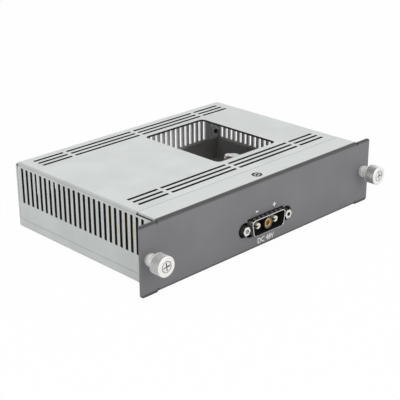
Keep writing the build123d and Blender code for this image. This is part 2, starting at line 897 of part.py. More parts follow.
# Circuit board: wide behind the front panel, narrower along the left side, with an open bay at the rear right
with BuildPart() as circuit_board:
    with BuildSketch(level(board_bottom)):
        with BuildLine():
            Polyline(
                (-board_width / 2, back(board_front)),
                (board_width / 2, back(board_front)),
                (board_width / 2, back(board_notch)),
                (board_inner_edge, back(board_notch)),
                (board_inner_edge, back(board_rear)),
                (-board_width / 2, back(board_rear)),
                close=True,
            )
        make_face()
        with Locations([flat(place) for place in standoff_places]):
            Circle(screw_radius + screw_play, mode=Mode.SUBTRACT)
        with Locations([flat((x, tail_rear)) for x in (-contact_pitch, 0, contact_pitch)]):
            Circle(tail_radius + screw_play, mode=Mode.SUBTRACT)
    extrude(amount=board)
save(circuit_board, "circuit_board")

with BuildPart() as board_standoffs:
    with BuildSketch(level(0)):
        with Locations([flat(place) for place in standoff_places]):
            Circle(standoff_foot)
    extrude(amount=sheet)
    with BuildSketch(level(sheet)):
        with Locations([flat(place) for place in standoff_places]):
            Circle(standoff_radius)
    extrude(amount=board_bottom - sheet)
    with BuildSketch(level(board_bottom)):
        with Locations([flat(place) for place in standoff_places]):
            Circle(screw_radius + thread_play)
    extrude(amount=standoff_floor - board_bottom, mode=Mode.SUBTRACT)
save(board_standoffs, "board_standoffs")

with BuildPart() as board_screws:
    with BuildSketch(level(board_top)):
        with Locations([flat(place) for place in standoff_places]):
            Circle(pan_head)
    extrude(amount=pan_height)
    fillet(board_screws.faces().group_by(Axis.Z)[-1].edges(), pan_height / 2)
    with BuildSketch(level(board_top)):
        with Locations([flat(place) for place in standoff_places]):
            Circle(screw_radius)
    extrude(amount=-pan_shank)
    with BuildSketch(level(board_top + pan_height)):
        with Locations([flat(place) for place in standoff_places]):
            Rectangle(2 * recess_reach, recess_arm)
            Rectangle(recess_arm, 2 * recess_reach)
    extrude(amount=-recess_depth, mode=Mode.SUBTRACT)
save(board_screws, "board_screws")


# Chokes: ring cores lying on the board, each inside its winding
with BuildPart() as choke_cores:
    for place, radius, height in (
        (choke_place, choke_radius, choke_height),
        (output_choke_place, output_choke_radius, output_choke_height),
    ):
        with BuildSketch(level(board_top + winding_wall)):
            with Locations(flat(place)):
                Circle(radius - winding_wall)
                Circle(choke_hole + winding_wall, mode=Mode.SUBTRACT)
        extrude(amount=height - 2 * winding_wall)
save(choke_cores, "choke_cores")

with BuildPart() as choke_windings:
    for place, radius, height in (
        (choke_place, choke_radius, choke_height),
        (output_choke_place, output_choke_radius, output_choke_height),
    ):
        with BuildSketch(level(board_top)):
            with Locations(flat(place)):
                Circle(radius)
                Circle(choke_hole, mode=Mode.SUBTRACT)
        extrude(amount=height)
        with BuildSketch(level(board_top + winding_wall)):
            with Locations(flat(place)):
                Circle(radius - winding_wall)
                Circle(choke_hole + winding_wall, mode=Mode.SUBTRACT)
        extrude(amount=height - 2 * winding_wall, mode=Mode.SUBTRACT)
save(choke_windings, "choke_windings")

# Lump of sealing compound over the rear edge of the front choke
choke_top = board_top + choke_height
with BuildPart() as sealing_lump:
    with BuildSketch(level(choke_top - lump_hang)):
        with Locations(flat(lump_place)):
            Ellipse(lump_length / 2, lump_width / 2, rotation=lump_turn)
    extrude(amount=lump_hang + lump_rise)
    fillet(sealing_lump.faces().filter_by(GeomType.PLANE).edges(), lump_radius)
    with BuildSketch(level(board_top)):
        with Locations(flat(choke_place)):
            Circle(choke_radius)
    extrude(amount=choke_height, mode=Mode.SUBTRACT)
save(sealing_lump, "sealing_lump")


def capacitors(places, radius, height):
    """Round capacitors that stand on the board, each with a rolled groove above its foot."""
    with BuildPart() as group:
        for place in places:
            x, y = flat(place)
            with BuildSketch(Plane(origin=(x, y, board_top), x_dir=(1, 0, 0), z_dir=(0, -1, 0))):
                with BuildLine():
                    Polyline(
                        (0, 0),
                        (radius, 0),
                        (radius, groove_height),
                        (radius - capacitor_groove, 2 * groove_height),
                        (radius, 3 * groove_height),
                        (radius, height - capacitor_groove),
                        (radius - capacitor_groove, height),
                        (0, height),
                        close=True,
                    )
                make_face()
            revolve(axis=Axis((x, y, 0), (0, 0, 1)))
    return group


bulk_capacitors = capacitors(capacitor_places, capacitor_radius, capacitor_height)
save(bulk_capacitors, "bulk_capacitors")
small_capacitors = capacitors(small_capacitor_places, small_capacitor_radius, small_capacitor_height)
save(small_capacitors, "small_capacitors")

with BuildPart() as film_capacitors:
    with BuildSketch(level(board_top)):
        with Locations([flat(place) for place in film_block_places]):
            Rectangle(film_block_length, film_block_width)
    extrude(amount=film_block_height)
    fillet(film_capacitors.edges().filter_by(Axis.Z), film_block_radius)
save(film_capacitors, "film_capacitors")


# Power transformer: an E core with its winding on the middle leg, carried by a bobbin with two rails
core_low = board_top + core_rise
window_height = core_height - 2 * core_back
window_low = core_low + core_back
with BuildPart() as transformer_core:
    with BuildSketch(upright(core_place[1] - core_width / 2)):
        with Locations((core_place[0], core_low + core_height / 2)):
            Rectangle(core_length, core_height)
            with GridLocations(core_length - 2 * core_leg - window_width, 0, 2, 1):
                Rectangle(window_width, window_height, mode=Mode.SUBTRACT)
    extrude(amount=-core_width)
save(transformer_core, "transformer_core")

leg_width = core_length - 2 * core_leg - 2 * window_width
with BuildPart() as transformer_winding:
    with BuildSketch(level(window_low + bobbin_wall)):
        with Locations(flat(core_place)):
            RectangleRounded(leg_width + 2 * window_width - 2 * winding_play, winding_width, winding_radius)
            Rectangle(leg_width + 2 * bobbin_wall, core_width + 2 * bobbin_wall, mode=Mode.SUBTRACT)
    extrude(amount=window_height - 2 * bobbin_wall)
save(transformer_winding, "transformer_winding")

with BuildPart() as transformer_bobbin:
    with BuildSketch(level(window_low)):
        with Locations(flat(core_place)):
            Rectangle(leg_width + 2 * bobbin_wall, core_width + 2 * bobbin_wall)
    extrude(amount=window_height)
    for flange_level in (window_low, window_low + window_height - bobbin_wall):
        with BuildSketch(level(flange_level)):
            with Locations(flat(core_place)):
                Rectangle(leg_width + 2 * window_width, winding_width)
        extrude(amount=bobbin_wall)
    rail_middle = (core_width + winding_width) / 4 + winding_play
    rail_width = (winding_width - core_width) / 2 - 2 * winding_play
    with BuildSketch(level(board_top)):
        with Locations([flat((core_place[0], core_place[1] + side * rail_middle)) for side in (-1, 1)]):
            Rectangle(leg_width + 2 * window_width, rail_width)
    extrude(amount=window_low - board_top)
    with BuildSketch(level(core_low)):
        with Locations(flat(core_place)):
            Rectangle(leg_width, core_width)
    extrude(amount=core_height, mode=Mode.SUBTRACT)
save(transformer_bobbin, "transformer_bobbin")


# Heatsink: an upright web with level fins on its left, and power transistors screwed to its right face
web_x = heatsink_place[0]
heatsink_front = heatsink_place[1] - heatsink_length / 2
transistor_depths = [heatsink_place[1] + step * transistor_pitch / 2 for step in (-1, 1)]
screw_level = board_top + transistor_rise + transistor_tab - transistor_hole
with BuildPart() as heatsink:
    with BuildSketch(upright(heatsink_front)):
        with Locations((web_x, board_top + heatsink_height / 2)):
            Rectangle(heatsink_web, heatsink_height)
        fin_pitch = (heatsink_height - heatsink_fin) / (heatsink_fins - 1)
        with Locations((web_x - (heatsink_web + heatsink_fin_reach) / 2, board_top + heatsink_height / 2)):
            with GridLocations(0, fin_pitch, 1, heatsink_fins):
                Rectangle(heatsink_fin_reach, heatsink_fin)
    extrude(amount=-heatsink_length)
    with BuildSketch(sideways(web_x + heatsink_web / 2)):
        with Locations([(back(depth), screw_level) for depth in transistor_depths]):
            Circle(screw_radius + thread_play)
    extrude(amount=-heatsink_web, mode=Mode.SUBTRACT)
save(heatsink, "heatsink")

transistor_face = web_x + heatsink_web / 2
with BuildPart() as power_transistors:
    for depth in transistor_depths:
        with BuildSketch(sideways(transistor_face)):
            with Locations((back(depth), board_top + transistor_rise + transistor_tab / 2)):
                Rectangle(transistor_width, transistor_tab)
            with Locations((back(depth), screw_level)):
                Circle(screw_radius + screw_play, mode=Mode.SUBTRACT)
        extrude(amount=transistor_plate)
        with BuildSketch(sideways(transistor_face + transistor_plate)):
            with Locations((back(depth), board_top + transistor_rise + transistor_body / 2)):
                Rectangle(transistor_width, transistor_body)
        extrude(amount=transistor_thickness - transistor_plate)
        with BuildSketch(level(board_top)):
            with Locations((transistor_face + transistor_thickness / 2, back(depth))):
                with GridLocations(0, signal_pitch, 1, 3):
                    Rectangle(signal_side, signal_side)
        extrude(amount=transistor_rise)
save(power_transistors, "power_transistors")

with BuildPart() as transistor_screws:
    with BuildSketch(sideways(transistor_face + transistor_plate)):
        with Locations([(back(depth), screw_level) for depth in transistor_depths]):
            Circle(pan_head)
    extrude(amount=pan_height)
    with BuildSketch(sideways(transistor_face + transistor_plate)):
        with Locations([(back(depth), screw_level) for depth in transistor_depths]):
            Circle(screw_radius)
    extrude(amount=-transistor_plate - heatsink_web)
    with BuildSketch(sideways(transistor_face + transistor_plate + pan_height)):
        with Locations([(back(depth), screw_level) for depth in transistor_depths]):
            Rectangle(2 * recess_reach, recess_arm)
            Rectangle(recess_arm, 2 * recess_reach)
    extrude(amount=-recess_depth, mode=Mode.SUBTRACT)
save(transistor_screws, "transistor_screws")


# Fuse in two spring clips
fuse_level = board_top + fuse_rise
with BuildPart() as fuse:
    with BuildSketch(sideways(fuse_place[0] - fuse_length / 2)):
        with Locations((back(fuse_place[1]), fuse_level)):
            Circle(fuse_radius)
    extrude(amount=fuse_length)
    with BuildSketch(sideways(fuse_place[0] - fuse_length / 2 + fuse_cap)):
        with Locations((back(fuse_place[1]), fuse_level)):
            Circle(fuse_radius)
            Circle(fuse_radius - clip_plate, mode=Mode.SUBTRACT)
    extrude(amount=fuse_length - 2 * fuse_cap, mode=Mode.SUBTRACT)
save(fuse, "fuse")

with BuildPart() as fuse_clips:
    for side in (-1, 1):
        with BuildSketch(sideways(fuse_place[0] + side * (fuse_length - fuse_cap) / 2 - clip_width / 2)):
            with Locations((back(fuse_place[1]), board_top + fuse_rise / 2)):
                Rectangle(2 * (fuse_radius + clip_plate), fuse_rise)
            with Locations((back(fuse_place[1]), fuse_level)):
                Circle(fuse_radius + clip_plate)
                Circle(fuse_radius, mode=Mode.SUBTRACT)
            with Locations((back(fuse_place[1]), fuse_level + fuse_radius)):
                Rectangle(2 * fuse_radius, fuse_radius, mode=Mode.SUBTRACT)
        extrude(amount=clip_width)
save(fuse_clips, "fuse_clips")


# Upright control board with a row of header pins
with BuildPart() as control_board:
    with BuildSketch(sideways(control_place[0])):
        with Locations((back(control_place[1]), board_top + control_rise + control_height / 2)):
            Rectangle(control_length, control_height)
    extrude(amount=control_plate)
save(control_board, "control_board")

with BuildPart() as control_header:
    with BuildSketch(level(board_top)):
        with Locations((control_place[0] - signal_pitch / 2, back(control_place[1]))):
            Rectangle(signal_pitch, (signal_columns + 1) * signal_pitch)
    extrude(amount=header_height)
save(control_header, "control_header")


# Rear connector: a housing open to the rear with four blades and two rows of signal pins
rear_end = box_depth + rear_proud
with BuildPart() as rear_connector:
    with BuildSketch(upright(rear_start)):
        with Locations((rear_x, (board_top + rear_z + rear_height / 2) / 2)):
            Rectangle(rear_width, rear_z + rear_height / 2 - board_top)
    extrude(amount=rear_start - board_rear)
    with BuildSketch(upright(rear_start)):
        with Locations((rear_x, rear_z)):
            RectangleRounded(rear_width, rear_height, rear_radius)
    extrude(amount=rear_start - rear_end)
    with BuildSketch(upright(box_depth - sheet)):
        with Locations((rear_x, rear_z)):
            RectangleRounded(2 * rear_reach, rear_height, rear_radius)
    extrude(amount=rear_wall)
    with BuildSketch(upright(rear_start + rear_floor)):
        with Locations((rear_x, rear_z)):
            Rectangle(rear_width - 2 * rear_wall, rear_height - 2 * rear_wall)
    extrude(amount=-box_depth, mode=Mode.SUBTRACT)
    with BuildSketch(upright(box_depth)):
        with Locations(rear_screw_places):
            Circle(screw_radius + thread_play)
    extrude(amount=2 * (sheet + rear_wall), mode=Mode.SUBTRACT)
    with BuildSketch(upright(rear_start)):
        with Locations([(rear_x + x, rear_z) for x in blade_places]):
            Rectangle(blade_thickness, blade_height)
        with Locations((rear_x, rear_z)):
            with GridLocations(signal_pitch, signal_pitch, signal_columns, 2):
                Rectangle(signal_side, signal_side)
    extrude(amount=-rear_floor, mode=Mode.SUBTRACT)
save(rear_connector, "rear_connector")

with BuildPart() as rear_blades:
    for x in blade_places:
        with BuildSketch(sideways(rear_x + x - blade_thickness / 2)):
            with BuildLine():
                Polyline(
                    (back(rear_start - blade_setback - blade_leg), rear_z + blade_height / 2),
                    (back(rear_end - blade_setback), rear_z + blade_height / 2),
                    (back(rear_end - blade_setback), rear_z - blade_height / 2),
                    (back(rear_start - blade_setback), rear_z - blade_height / 2),
                    (back(rear_start - blade_setback), board_top),
                    (back(rear_start - blade_setback - blade_leg), board_top),
                    close=True,
                )
            make_face()
        extrude(amount=blade_thickness)
save(rear_blades, "rear_blades")

with BuildPart() as rear_signal_pins:
    for row, side in enumerate((-1, 1)):
        pin_level = rear_z + side * signal_pitch / 2
        pin_bend = rear_start - blade_setback - row * signal_pitch
        for column in range(signal_columns):
            pin_place = rear_x + (column - (signal_columns - 1) / 2) * signal_pitch - signal_side / 2
            with BuildSketch(sideways(pin_place)):
                with BuildLine():
                    Polyline(
                        (back(pin_bend - signal_side), pin_level + signal_side / 2),
                        (back(rear_end - signal_setback), pin_level + signal_side / 2),
                        (back(rear_end - signal_setback), pin_level - signal_side / 2),
                        (back(pin_bend), pin_level - signal_side / 2),
                        (back(pin_bend), board_top),
                        (back(pin_bend - signal_side), board_top),
                        close=True,
                    )
                make_face()
            extrude(amount=signal_side)
save(rear_signal_pins, "rear_signal_pins")

with BuildPart() as rear_connector_screws:
    with BuildSketch(upright(box_depth)):
        with Locations(rear_screw_places):
            Circle(pan_head)
    extrude(amount=-pan_height)
    fillet(rear_connector_screws.faces().group_by(Axis.Y)[-1].edges(), pan_height / 2)
    with BuildSketch(upright(box_depth)):
        with Locations(rear_screw_places):
            Circle(screw_radius)
    extrude(amount=sheet + rear_wall)
    with BuildSketch(upright(box_depth + pan_height)):
        with Locations(rear_screw_places):
            Rectangle(2 * recess_reach, recess_arm)
            Rectangle(recess_arm, 2 * recess_reach)
    extrude(amount=recess_depth, mode=Mode.SUBTRACT)
save(rear_connector_screws, "rear_connector_screws")


# Earth stud in the floor of the open bay, with its nut
with BuildPart() as earth_stud:
    with BuildSketch(level(0)):
        with Locations(flat(earth_place)):
            Circle(earth_radius)
    extrude(amount=earth_height)
    chamfer(earth_stud.faces().sort_by(Axis.Z)[-1].edges(), earth_chamfer)
save(earth_stud, "earth_stud")

with BuildPart() as earth_nut:
    with BuildSketch(level(sheet)):
        with Locations(flat(earth_place)):
            RegularPolygon(earth_flats / 2, 6, major_radius=False)
            Circle(earth_radius + thread_play, mode=Mode.SUBTRACT)
    extrude(amount=earth_nut_height)
save(earth_nut, "earth_nut")
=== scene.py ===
"""The looks of a plug-in power supply, laid out as an add-on with one operator for each group of pieces.

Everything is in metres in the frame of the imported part: +X is to the right seen from the front, +Y runs back
into the enclosure and +Z is up, from the middle of the flat underside.
"""

import json
import math

import bmesh
import bpy
from mathutils import Matrix, Vector

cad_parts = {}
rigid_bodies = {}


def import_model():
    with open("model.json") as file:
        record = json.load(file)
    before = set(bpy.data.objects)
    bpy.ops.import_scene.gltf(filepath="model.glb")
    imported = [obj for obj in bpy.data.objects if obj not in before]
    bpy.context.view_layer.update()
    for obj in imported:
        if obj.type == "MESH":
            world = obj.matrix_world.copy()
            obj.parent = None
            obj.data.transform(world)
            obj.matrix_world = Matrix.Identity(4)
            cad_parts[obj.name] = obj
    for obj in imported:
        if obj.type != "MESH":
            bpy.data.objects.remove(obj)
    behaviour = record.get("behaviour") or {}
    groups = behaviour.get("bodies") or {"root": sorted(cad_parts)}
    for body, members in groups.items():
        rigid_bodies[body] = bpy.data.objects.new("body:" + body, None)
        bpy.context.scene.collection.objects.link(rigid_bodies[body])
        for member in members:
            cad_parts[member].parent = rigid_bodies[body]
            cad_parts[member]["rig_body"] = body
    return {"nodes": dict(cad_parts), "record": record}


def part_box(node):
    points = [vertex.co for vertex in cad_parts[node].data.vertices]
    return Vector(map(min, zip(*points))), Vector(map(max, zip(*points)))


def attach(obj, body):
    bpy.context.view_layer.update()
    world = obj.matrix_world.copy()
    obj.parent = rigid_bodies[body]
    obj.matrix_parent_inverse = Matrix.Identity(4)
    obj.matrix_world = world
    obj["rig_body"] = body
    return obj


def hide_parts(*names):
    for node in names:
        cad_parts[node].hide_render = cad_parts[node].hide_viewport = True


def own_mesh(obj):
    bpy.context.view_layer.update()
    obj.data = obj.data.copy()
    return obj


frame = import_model()

bl_info = {
    "name": "Power Supply Looks",
    "version": (1, 0, 0),
    "blender": (4, 5, 0),
    "location": "3D View > Sidebar > Power Supply",
    "description": "Finishes and detailed pieces of a plug-in power supply in a slotted sheet enclosure",
    "category": "Object",
}

MM = 0.001
SIDES = ("left", "right")
SHEET = 1.2 * MM


def corners(node):
    """The lowest and the highest corner of a CAD node."""
    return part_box(node)


def middle(node):
    """The middle of a CAD node's box."""
    low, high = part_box(node)
    return (low + high) / 2


FRONT_Y = corners("front_panel")[0].y
BOX_TOP = corners("front_panel")[1].z


def shown(red, green, blue):
    """A colour given as it shows on a screen, 0 to 255, as the linear values that a shader takes."""
    linear = []
    for level in (red, green, blue):
        share = level / 255
        linear.append(share / 12.92 if share <= 0.04045 else ((share + 0.055) / 1.055) ** 2.4)
    return (*linear, 1.0)


# Shader trees and geometry trees


def joined(operation, swapped=False):
    """A method that joins a term and another value by a Math node."""
    def method(self, other):
        return self.tree.maths(operation, *((other, self) if swapped else (self, other)))

    return method


class Term:
    """A socket that takes part in Python expressions: each operation on it adds its Math node."""

    def __init__(self, tree, socket):
        self.tree = tree
        self.socket = socket

    def maths(self, operation, *others):
        return self.tree.maths(operation, self, *others)

    __add__, __radd__ = joined("ADD"), joined("ADD", swapped=True)
    __sub__, __rsub__ = joined("SUBTRACT"), joined("SUBTRACT", swapped=True)
    __mul__, __rmul__ = joined("MULTIPLY"), joined("MULTIPLY", swapped=True)
    __truediv__, __rtruediv__ = joined("DIVIDE"), joined("DIVIDE", swapped=True)

    def __abs__(self):
        return self.maths("ABSOLUTE")

    def above(self, level):
        """1 where the value is above the level, and 0 elsewhere."""
        return self.maths("GREATER_THAN", level)

    def below(self, level):
        """1 where the value is below the level, and 0 elsewhere."""
        return self.maths("LESS_THAN", level)

    def rising(self, low, high):
        """0 up to low, 1 from high on, and a smooth step between."""
        inputs = {"Value": self, "From Min": low, "From Max": high}
        return self.tree.node("ShaderNodeMapRange", {"interpolation_type": "SMOOTHSTEP"}, inputs)


class Tree:
    """A node tree whose sockets are handed round as terms."""

    def __init__(self, nodes):
        self.nodes = nodes

    def feed(self, socket, value):
        """Link a term to a socket, or set the socket's own value."""
        if isinstance(value, Term):
            self.nodes.links.new(value.socket, socket)
        else:
            socket.default_value = value

    def node(self, kind, settings=None, inputs=None, output=0):
        """Add a node, apply its settings, feed its sockets, and give one of its outputs."""
        added = self.nodes.nodes.new(kind)
        for setting, value in (settings or {}).items():
            setattr(added, setting, value)
        for socket, value in (inputs or {}).items():
            self.feed(added.inputs[socket], value)
        return Term(self, added.outputs[output]) if added.outputs else None

    def maths(self, operation, *values):
        return self.node("ShaderNodeMath", {"operation": operation}, dict(enumerate(values)))


class Finish(Tree):
    """A node material. Constants go on the shader's own sockets."""

    def __init__(self, name, colour, roughness, metallic=0.0, **constants):
        self.material = bpy.data.materials.new(name)
        self.material.use_nodes = True
        super().__init__(self.material.node_tree)
        self.nodes.nodes.clear()
        self.shader = self.nodes.nodes.new("ShaderNodeBsdfPrincipled")
        self.node("ShaderNodeOutputMaterial", None, {"Surface": self.shaded()})
        self.give(Base_Color=colour, Roughness=roughness, Metallic=metallic, **constants)
        self.material.diffuse_color = colour
        self.place = self.node("ShaderNodeTexCoord", output="Object")

    def shaded(self):
        """What the shader gives."""
        return Term(self, self.shader.outputs["BSDF"])

    def give(self, **values):
        """Set or feed the shader's sockets, named with underscores for spaces."""
        for name, value in values.items():
            self.feed(self.shader.inputs[name.replace("_", " ")], value)
        return self

    def mix(self, factor, first, second):
        """The first colour where the factor is 0, and the second where it is 1."""
        return self.node("ShaderNodeMix", {"data_type": "RGBA"}, {0: factor, 6: first, 7: second}, output=2)

    def stretched(self, across, along, up):
        """The object's coordinates, each multiplied by its own number."""
        return self.node("ShaderNodeMapping", None, {"Vector": self.place, "Scale": (across, along, up)})

    def noise(self, grain, detail=2.0, rough=0.5, place=None):
        """Noise from 0 to 1 whose features are about one grain in size."""
        inputs = {"Vector": place or self.place, "Scale": 1 / grain, "Detail": detail, "Roughness": rough}
        return self.node("ShaderNodeTexNoise", None, inputs, output="Fac")

    def cells(self, grain, feature="F1", place=None):
        """Distance in cells of about one grain in size."""
        inputs = {"Vector": place or self.place, "Scale": 1 / grain}
        return self.node("ShaderNodeTexVoronoi", {"feature": feature}, inputs, output="Distance")

    def attribute(self, name):
        """A number stored on the piece's own mesh."""
        settings = {"attribute_type": "GEOMETRY", "attribute_name": name}
        return self.node("ShaderNodeAttribute", settings, output="Fac")

    def axis(self, name):
        """One of the object's coordinates."""
        return self.node("ShaderNodeSeparateXYZ", None, {"Vector": self.place}, output="XYZ".index(name))

    def relief(self, height, distance, strength=1.0):
        """Bump from a height between 0 and 1, over a distance in metres."""
        inputs = {"Height": height, "Distance": distance, "Strength": strength}
        self.give(Normal=self.node("ShaderNodeBump", None, inputs, output="Normal"))
        return self


class Pattern(Tree):
    """A Geometry Nodes tree with named inputs, which ends in plain faces with one material."""

    def __init__(self, name):
        super().__init__(bpy.data.node_groups.new(name, "GeometryNodeTree"))
        self.entry = self.nodes.nodes.new("NodeGroupInput")
        self.values = {}
        self.start = self.size("Geometry", None, "NodeSocketGeometry")
        self.nodes.interface.new_socket("Geometry", in_out="OUTPUT", socket_type="NodeSocketGeometry")

    def size(self, name, value, kind="NodeSocketFloat"):
        """A named input and the value that the modifier gets for it."""
        socket = self.nodes.interface.new_socket(name, in_out="INPUT", socket_type=kind)
        if value is not None:
            self.values[socket.identifier] = value
        return Term(self, self.entry.outputs[name])

    def scaled(self, vector, share):
        return self.node("ShaderNodeVectorMath", {"operation": "SCALE"}, {0: vector, "Scale": share})

    def wire(self, curve, radius, sides=8):
        """Round wire along a curve."""
        ring = self.node("GeometryNodeCurvePrimitiveCircle", None, {"Resolution": sides, "Radius": radius})
        inputs = {"Curve": curve, "Profile Curve": ring, "Fill Caps": True}
        return self.node("GeometryNodeCurveToMesh", None, inputs)

    def moved(self, geometry, place=(0, 0, 0), turn=(0, 0, 0)):
        inputs = {"Geometry": geometry, "Translation": place, "Rotation": turn}
        return self.node("GeometryNodeTransform", None, inputs)

    def copies(self, points, shape, turn):
        """A shape at every point."""
        inputs = {"Points": points, "Instance": shape, "Rotation": turn}
        return self.node("GeometryNodeInstanceOnPoints", None, inputs)

    def piece(self, name, geometry, finish, mesh=None):
        """Run the tree and leave its result as a plain piece."""
        whole = self.node("GeometryNodeRealizeInstances", None, {"Geometry": geometry})
        inputs = {"Geometry": whole, "Material": finish_of(finish)}
        painted = self.node("GeometryNodeSetMaterial", None, inputs)
        self.node("NodeGroupOutput", None, {"Geometry": painted})
        made = as_object(name, mesh or bpy.data.meshes.new(name))
        running = made.modifiers.new("pattern", "NODES")
        running.node_group = self.nodes
        for identifier, value in self.values.items():
            running[identifier] = value
        baked(made)
        smooth_by_angle(made.data, 40)
        return made


# Finishes


def shade(colour, share):
    """A colour made darker or lighter by a share."""
    return tuple(min(1.0, level * share) for level in colour[:3]) + (1.0,)


def plated_sheet():
    """Light grey plated sheet with a fine rolled grain and faint clouds; its inner side gets a lighter,
    non-metallic colour as painted light, its slot walls carry painted shade or painted light, and a painted
    shade band runs along the left fold.
    """
    looks = bpy.context.scene.supply_sheet
    made = Finish("plated_sheet", looks.colour, looks.roughness, looks.metallic)
    clouds = made.noise(24 * MM, 3.0)
    patches = clouds.rising(0.3, 0.7)
    grain = made.noise(0.25 * MM, 2.0, place=made.stretched(1.0, 0.04, 1.0))
    outer = made.mix(patches, shade(looks.colour, 0.94), shade(looks.colour, 1.04))
    # Painted light: the inner side takes a lighter, non-metallic colour that stands in for light inside the
    # box.
    inner = made.mix(patches, shade(looks.inner_colour, 0.9), looks.inner_colour)
    place = made.attribute("sheet_side")
    # Painted shade: the slot walls are dark where shade falls in them.
    cut = made.mix(patches, shade(looks.cut_colour, 0.85), looks.cut_colour)
    # Painted light: cut walls marked 3 are near white, standing in for light through the slots.
    cut = made.mix(place.above(2.5), cut, shown(250, 250, 250))
    low, high = corners("top_cover")
    # Painted shade: a greyer band along the left fold, where the bend falls into shade.
    fold = made.axis("X").below(low.x + looks.fold_band) * made.axis("Z").above(high.z - looks.fold_band)
    outer = made.mix(fold * looks.fold_shade, outer, shown(90, 92, 92))
    made.give(
        Base_Color=made.mix(place.above(1.5), made.mix(place.above(0.5), outer, inner), cut),
        Roughness=looks.roughness - 0.05 + 0.10 * clouds,
        Metallic=looks.metallic * place.below(0.5),
    )
    return made.relief(grain, 0.012 * MM, 0.35)


def panel_paint():
    """Fine matt grey powder coat with painted shade round its bend, bare sheet on the turned flanges, and a
    painted shadow ring round the flange screw.
    """
    looks = bpy.context.scene.supply_panel
    sheet = bpy.context.scene.supply_sheet
    base = looks.colour
    screw_shadow_radius = 3.0 * MM
    made = Finish("panel_paint", base, looks.roughness)
    peel = made.noise(0.45 * MM, 3.0, 0.6)
    clouds = made.noise(30 * MM, 2.0)
    paint = made.mix(clouds.rising(0.3, 0.7), shade(base, 0.95), shade(base, 1.05))
    height = made.axis("Z")
    low = corners("front_panel")[0].z
    # Painted shade: a darker band round the folds at the top and the bottom.
    bend = height.rising(BOX_TOP - looks.bend_band, BOX_TOP - 0.35 * looks.bend_band)
    bend = bend.maths("MAXIMUM", 1 - height.rising(low + 0.35 * looks.bend_band, low + looks.bend_band))
    depth = made.axis("Y")
    turned = depth.rising(FRONT_Y + 0.05 * MM, FRONT_Y + 0.4 * MM)
    paint = made.mix(bend, paint, shade(base, looks.bend_shade))
    behind = depth.rising(FRONT_Y + looks.paint_edge - 0.1 * MM, FRONT_Y + looks.paint_edge + 0.1 * MM)
    inside = made.attribute("sheet_side").above(0.5)
    spot = middle("flange_screws")
    across, along = made.axis("X") - spot.x, depth - spot.y
    away = across * across + along * along
    # The inner faces of the flanges take the sheet's painted light colour for the inner side.
    bare = made.mix(inside, sheet.colour, sheet.inner_colour)
    # Painted shadow: a dark ring on the bare flange round the flange screw.
    bare = made.mix(away.below(screw_shadow_radius ** 2), bare, shown(26, 26, 26))
    made.give(
        Base_Color=made.mix(behind, paint, bare),
        Roughness=looks.roughness + (sheet.roughness - looks.roughness) * behind - 0.06 * bend * turned,
        Metallic=sheet.metallic * behind * (1 - inside),
    )
    return made.relief(peel * (1 - behind), 0.05 * MM, 0.3)


def plain_metal(name, colour, roughness, metallic=1.0, sunk=None, grain=0.3 * MM):
    """Metal with a fine uneven grain, slightly varied gloss, and a darker colour as painted shade where the
    mesh says sunk.
    """
    made = Finish(name, colour, roughness, metallic)
    fine = made.noise(grain, 3.0, 0.6)
    broad = made.noise(grain * 12, 2.0)
    face = made.mix(broad.rising(0.3, 0.75), shade(colour, 0.86), colour)
    # Painted shade: faces marked sunk take the darker colour.
    made.give(
        Base_Color=made.mix(made.attribute("sunk"), face, sunk) if sunk else face,
        Roughness=roughness - 0.06 + 0.12 * fine,
    )
    return made.relief(fine, 0.006 * MM, 0.4)


def knurled_nickel():
    """Nickel with painted shade in the valleys of the knurl."""
    knob = bpy.context.scene.supply_knob
    face = shown(248, 247, 245)
    made = Finish("knurled_nickel", face, 0.34, 0.25)
    valley = made.attribute("valley")
    knurl = made.attribute("knurl")
    fine = made.noise(0.3 * MM, 3.0, 0.6)
    # Painted shade: the valleys of the knurl are greyer.
    ridges = made.mix(valley, knob.ridge_colour, knob.valley_colour)
    made.give(
        Base_Color=made.mix(knurl, face, ridges),
        Roughness=0.3 + 0.12 * fine + 0.15 * valley,
        Metallic=0.25 + 0.55 * knurl,
    )
    return made.relief(fine, 0.006 * MM, 0.4)


def connector_nickel():
    """Nickel shell, bright round its rim, with painted shade darkening its walls and the plate behind the
    panel.
    """
    made = Finish("connector_nickel", shown(226, 226, 222), 0.26, 1.0)
    fine = made.noise(0.4 * MM, 3.0, 0.6)
    # Painted shade on the plate behind the panel.
    behind = made.axis("Y").rising(FRONT_Y + 0.2 * MM, FRONT_Y + 1.6 * MM)
    half_width = 12.2 * MM
    end = made.axis("X").below(middle("screwlocks").x - half_width)
    end = end * made.axis("Y").below(corners("connector_shell")[0].y + 1.2 * MM)
    # Painted shade on the walls and on the plate behind the panel; the left end is left bright.
    dull = (made.attribute("wall_painted_shade") * (1 - end)).maths("MAXIMUM", behind)
    made.give(
        Base_Color=made.mix(dull, shown(236, 236, 232), shown(26, 26, 28)),
        Roughness=0.22 + 0.10 * fine + 0.3 * dull,
        Metallic=1 - 0.8 * dull,
    )
    return made.relief(fine, 0.006 * MM, 0.4)


def moulded(name, colour, roughness, grain):
    """Moulded plastic with a fine spark-eroded texture."""
    made = Finish(name, colour, roughness)
    fine = made.noise(grain, 2.0, 0.6)
    broad = made.noise(6 * MM, 2.0)
    lighter = tuple(level * 1.25 + 0.002 for level in colour[:3]) + (1.0,)
    made.give(Base_Color=made.mix(broad, colour, lighter), Roughness=roughness - 0.05 + 0.10 * fine)
    return made.relief(fine, 0.02 * MM, 0.3)


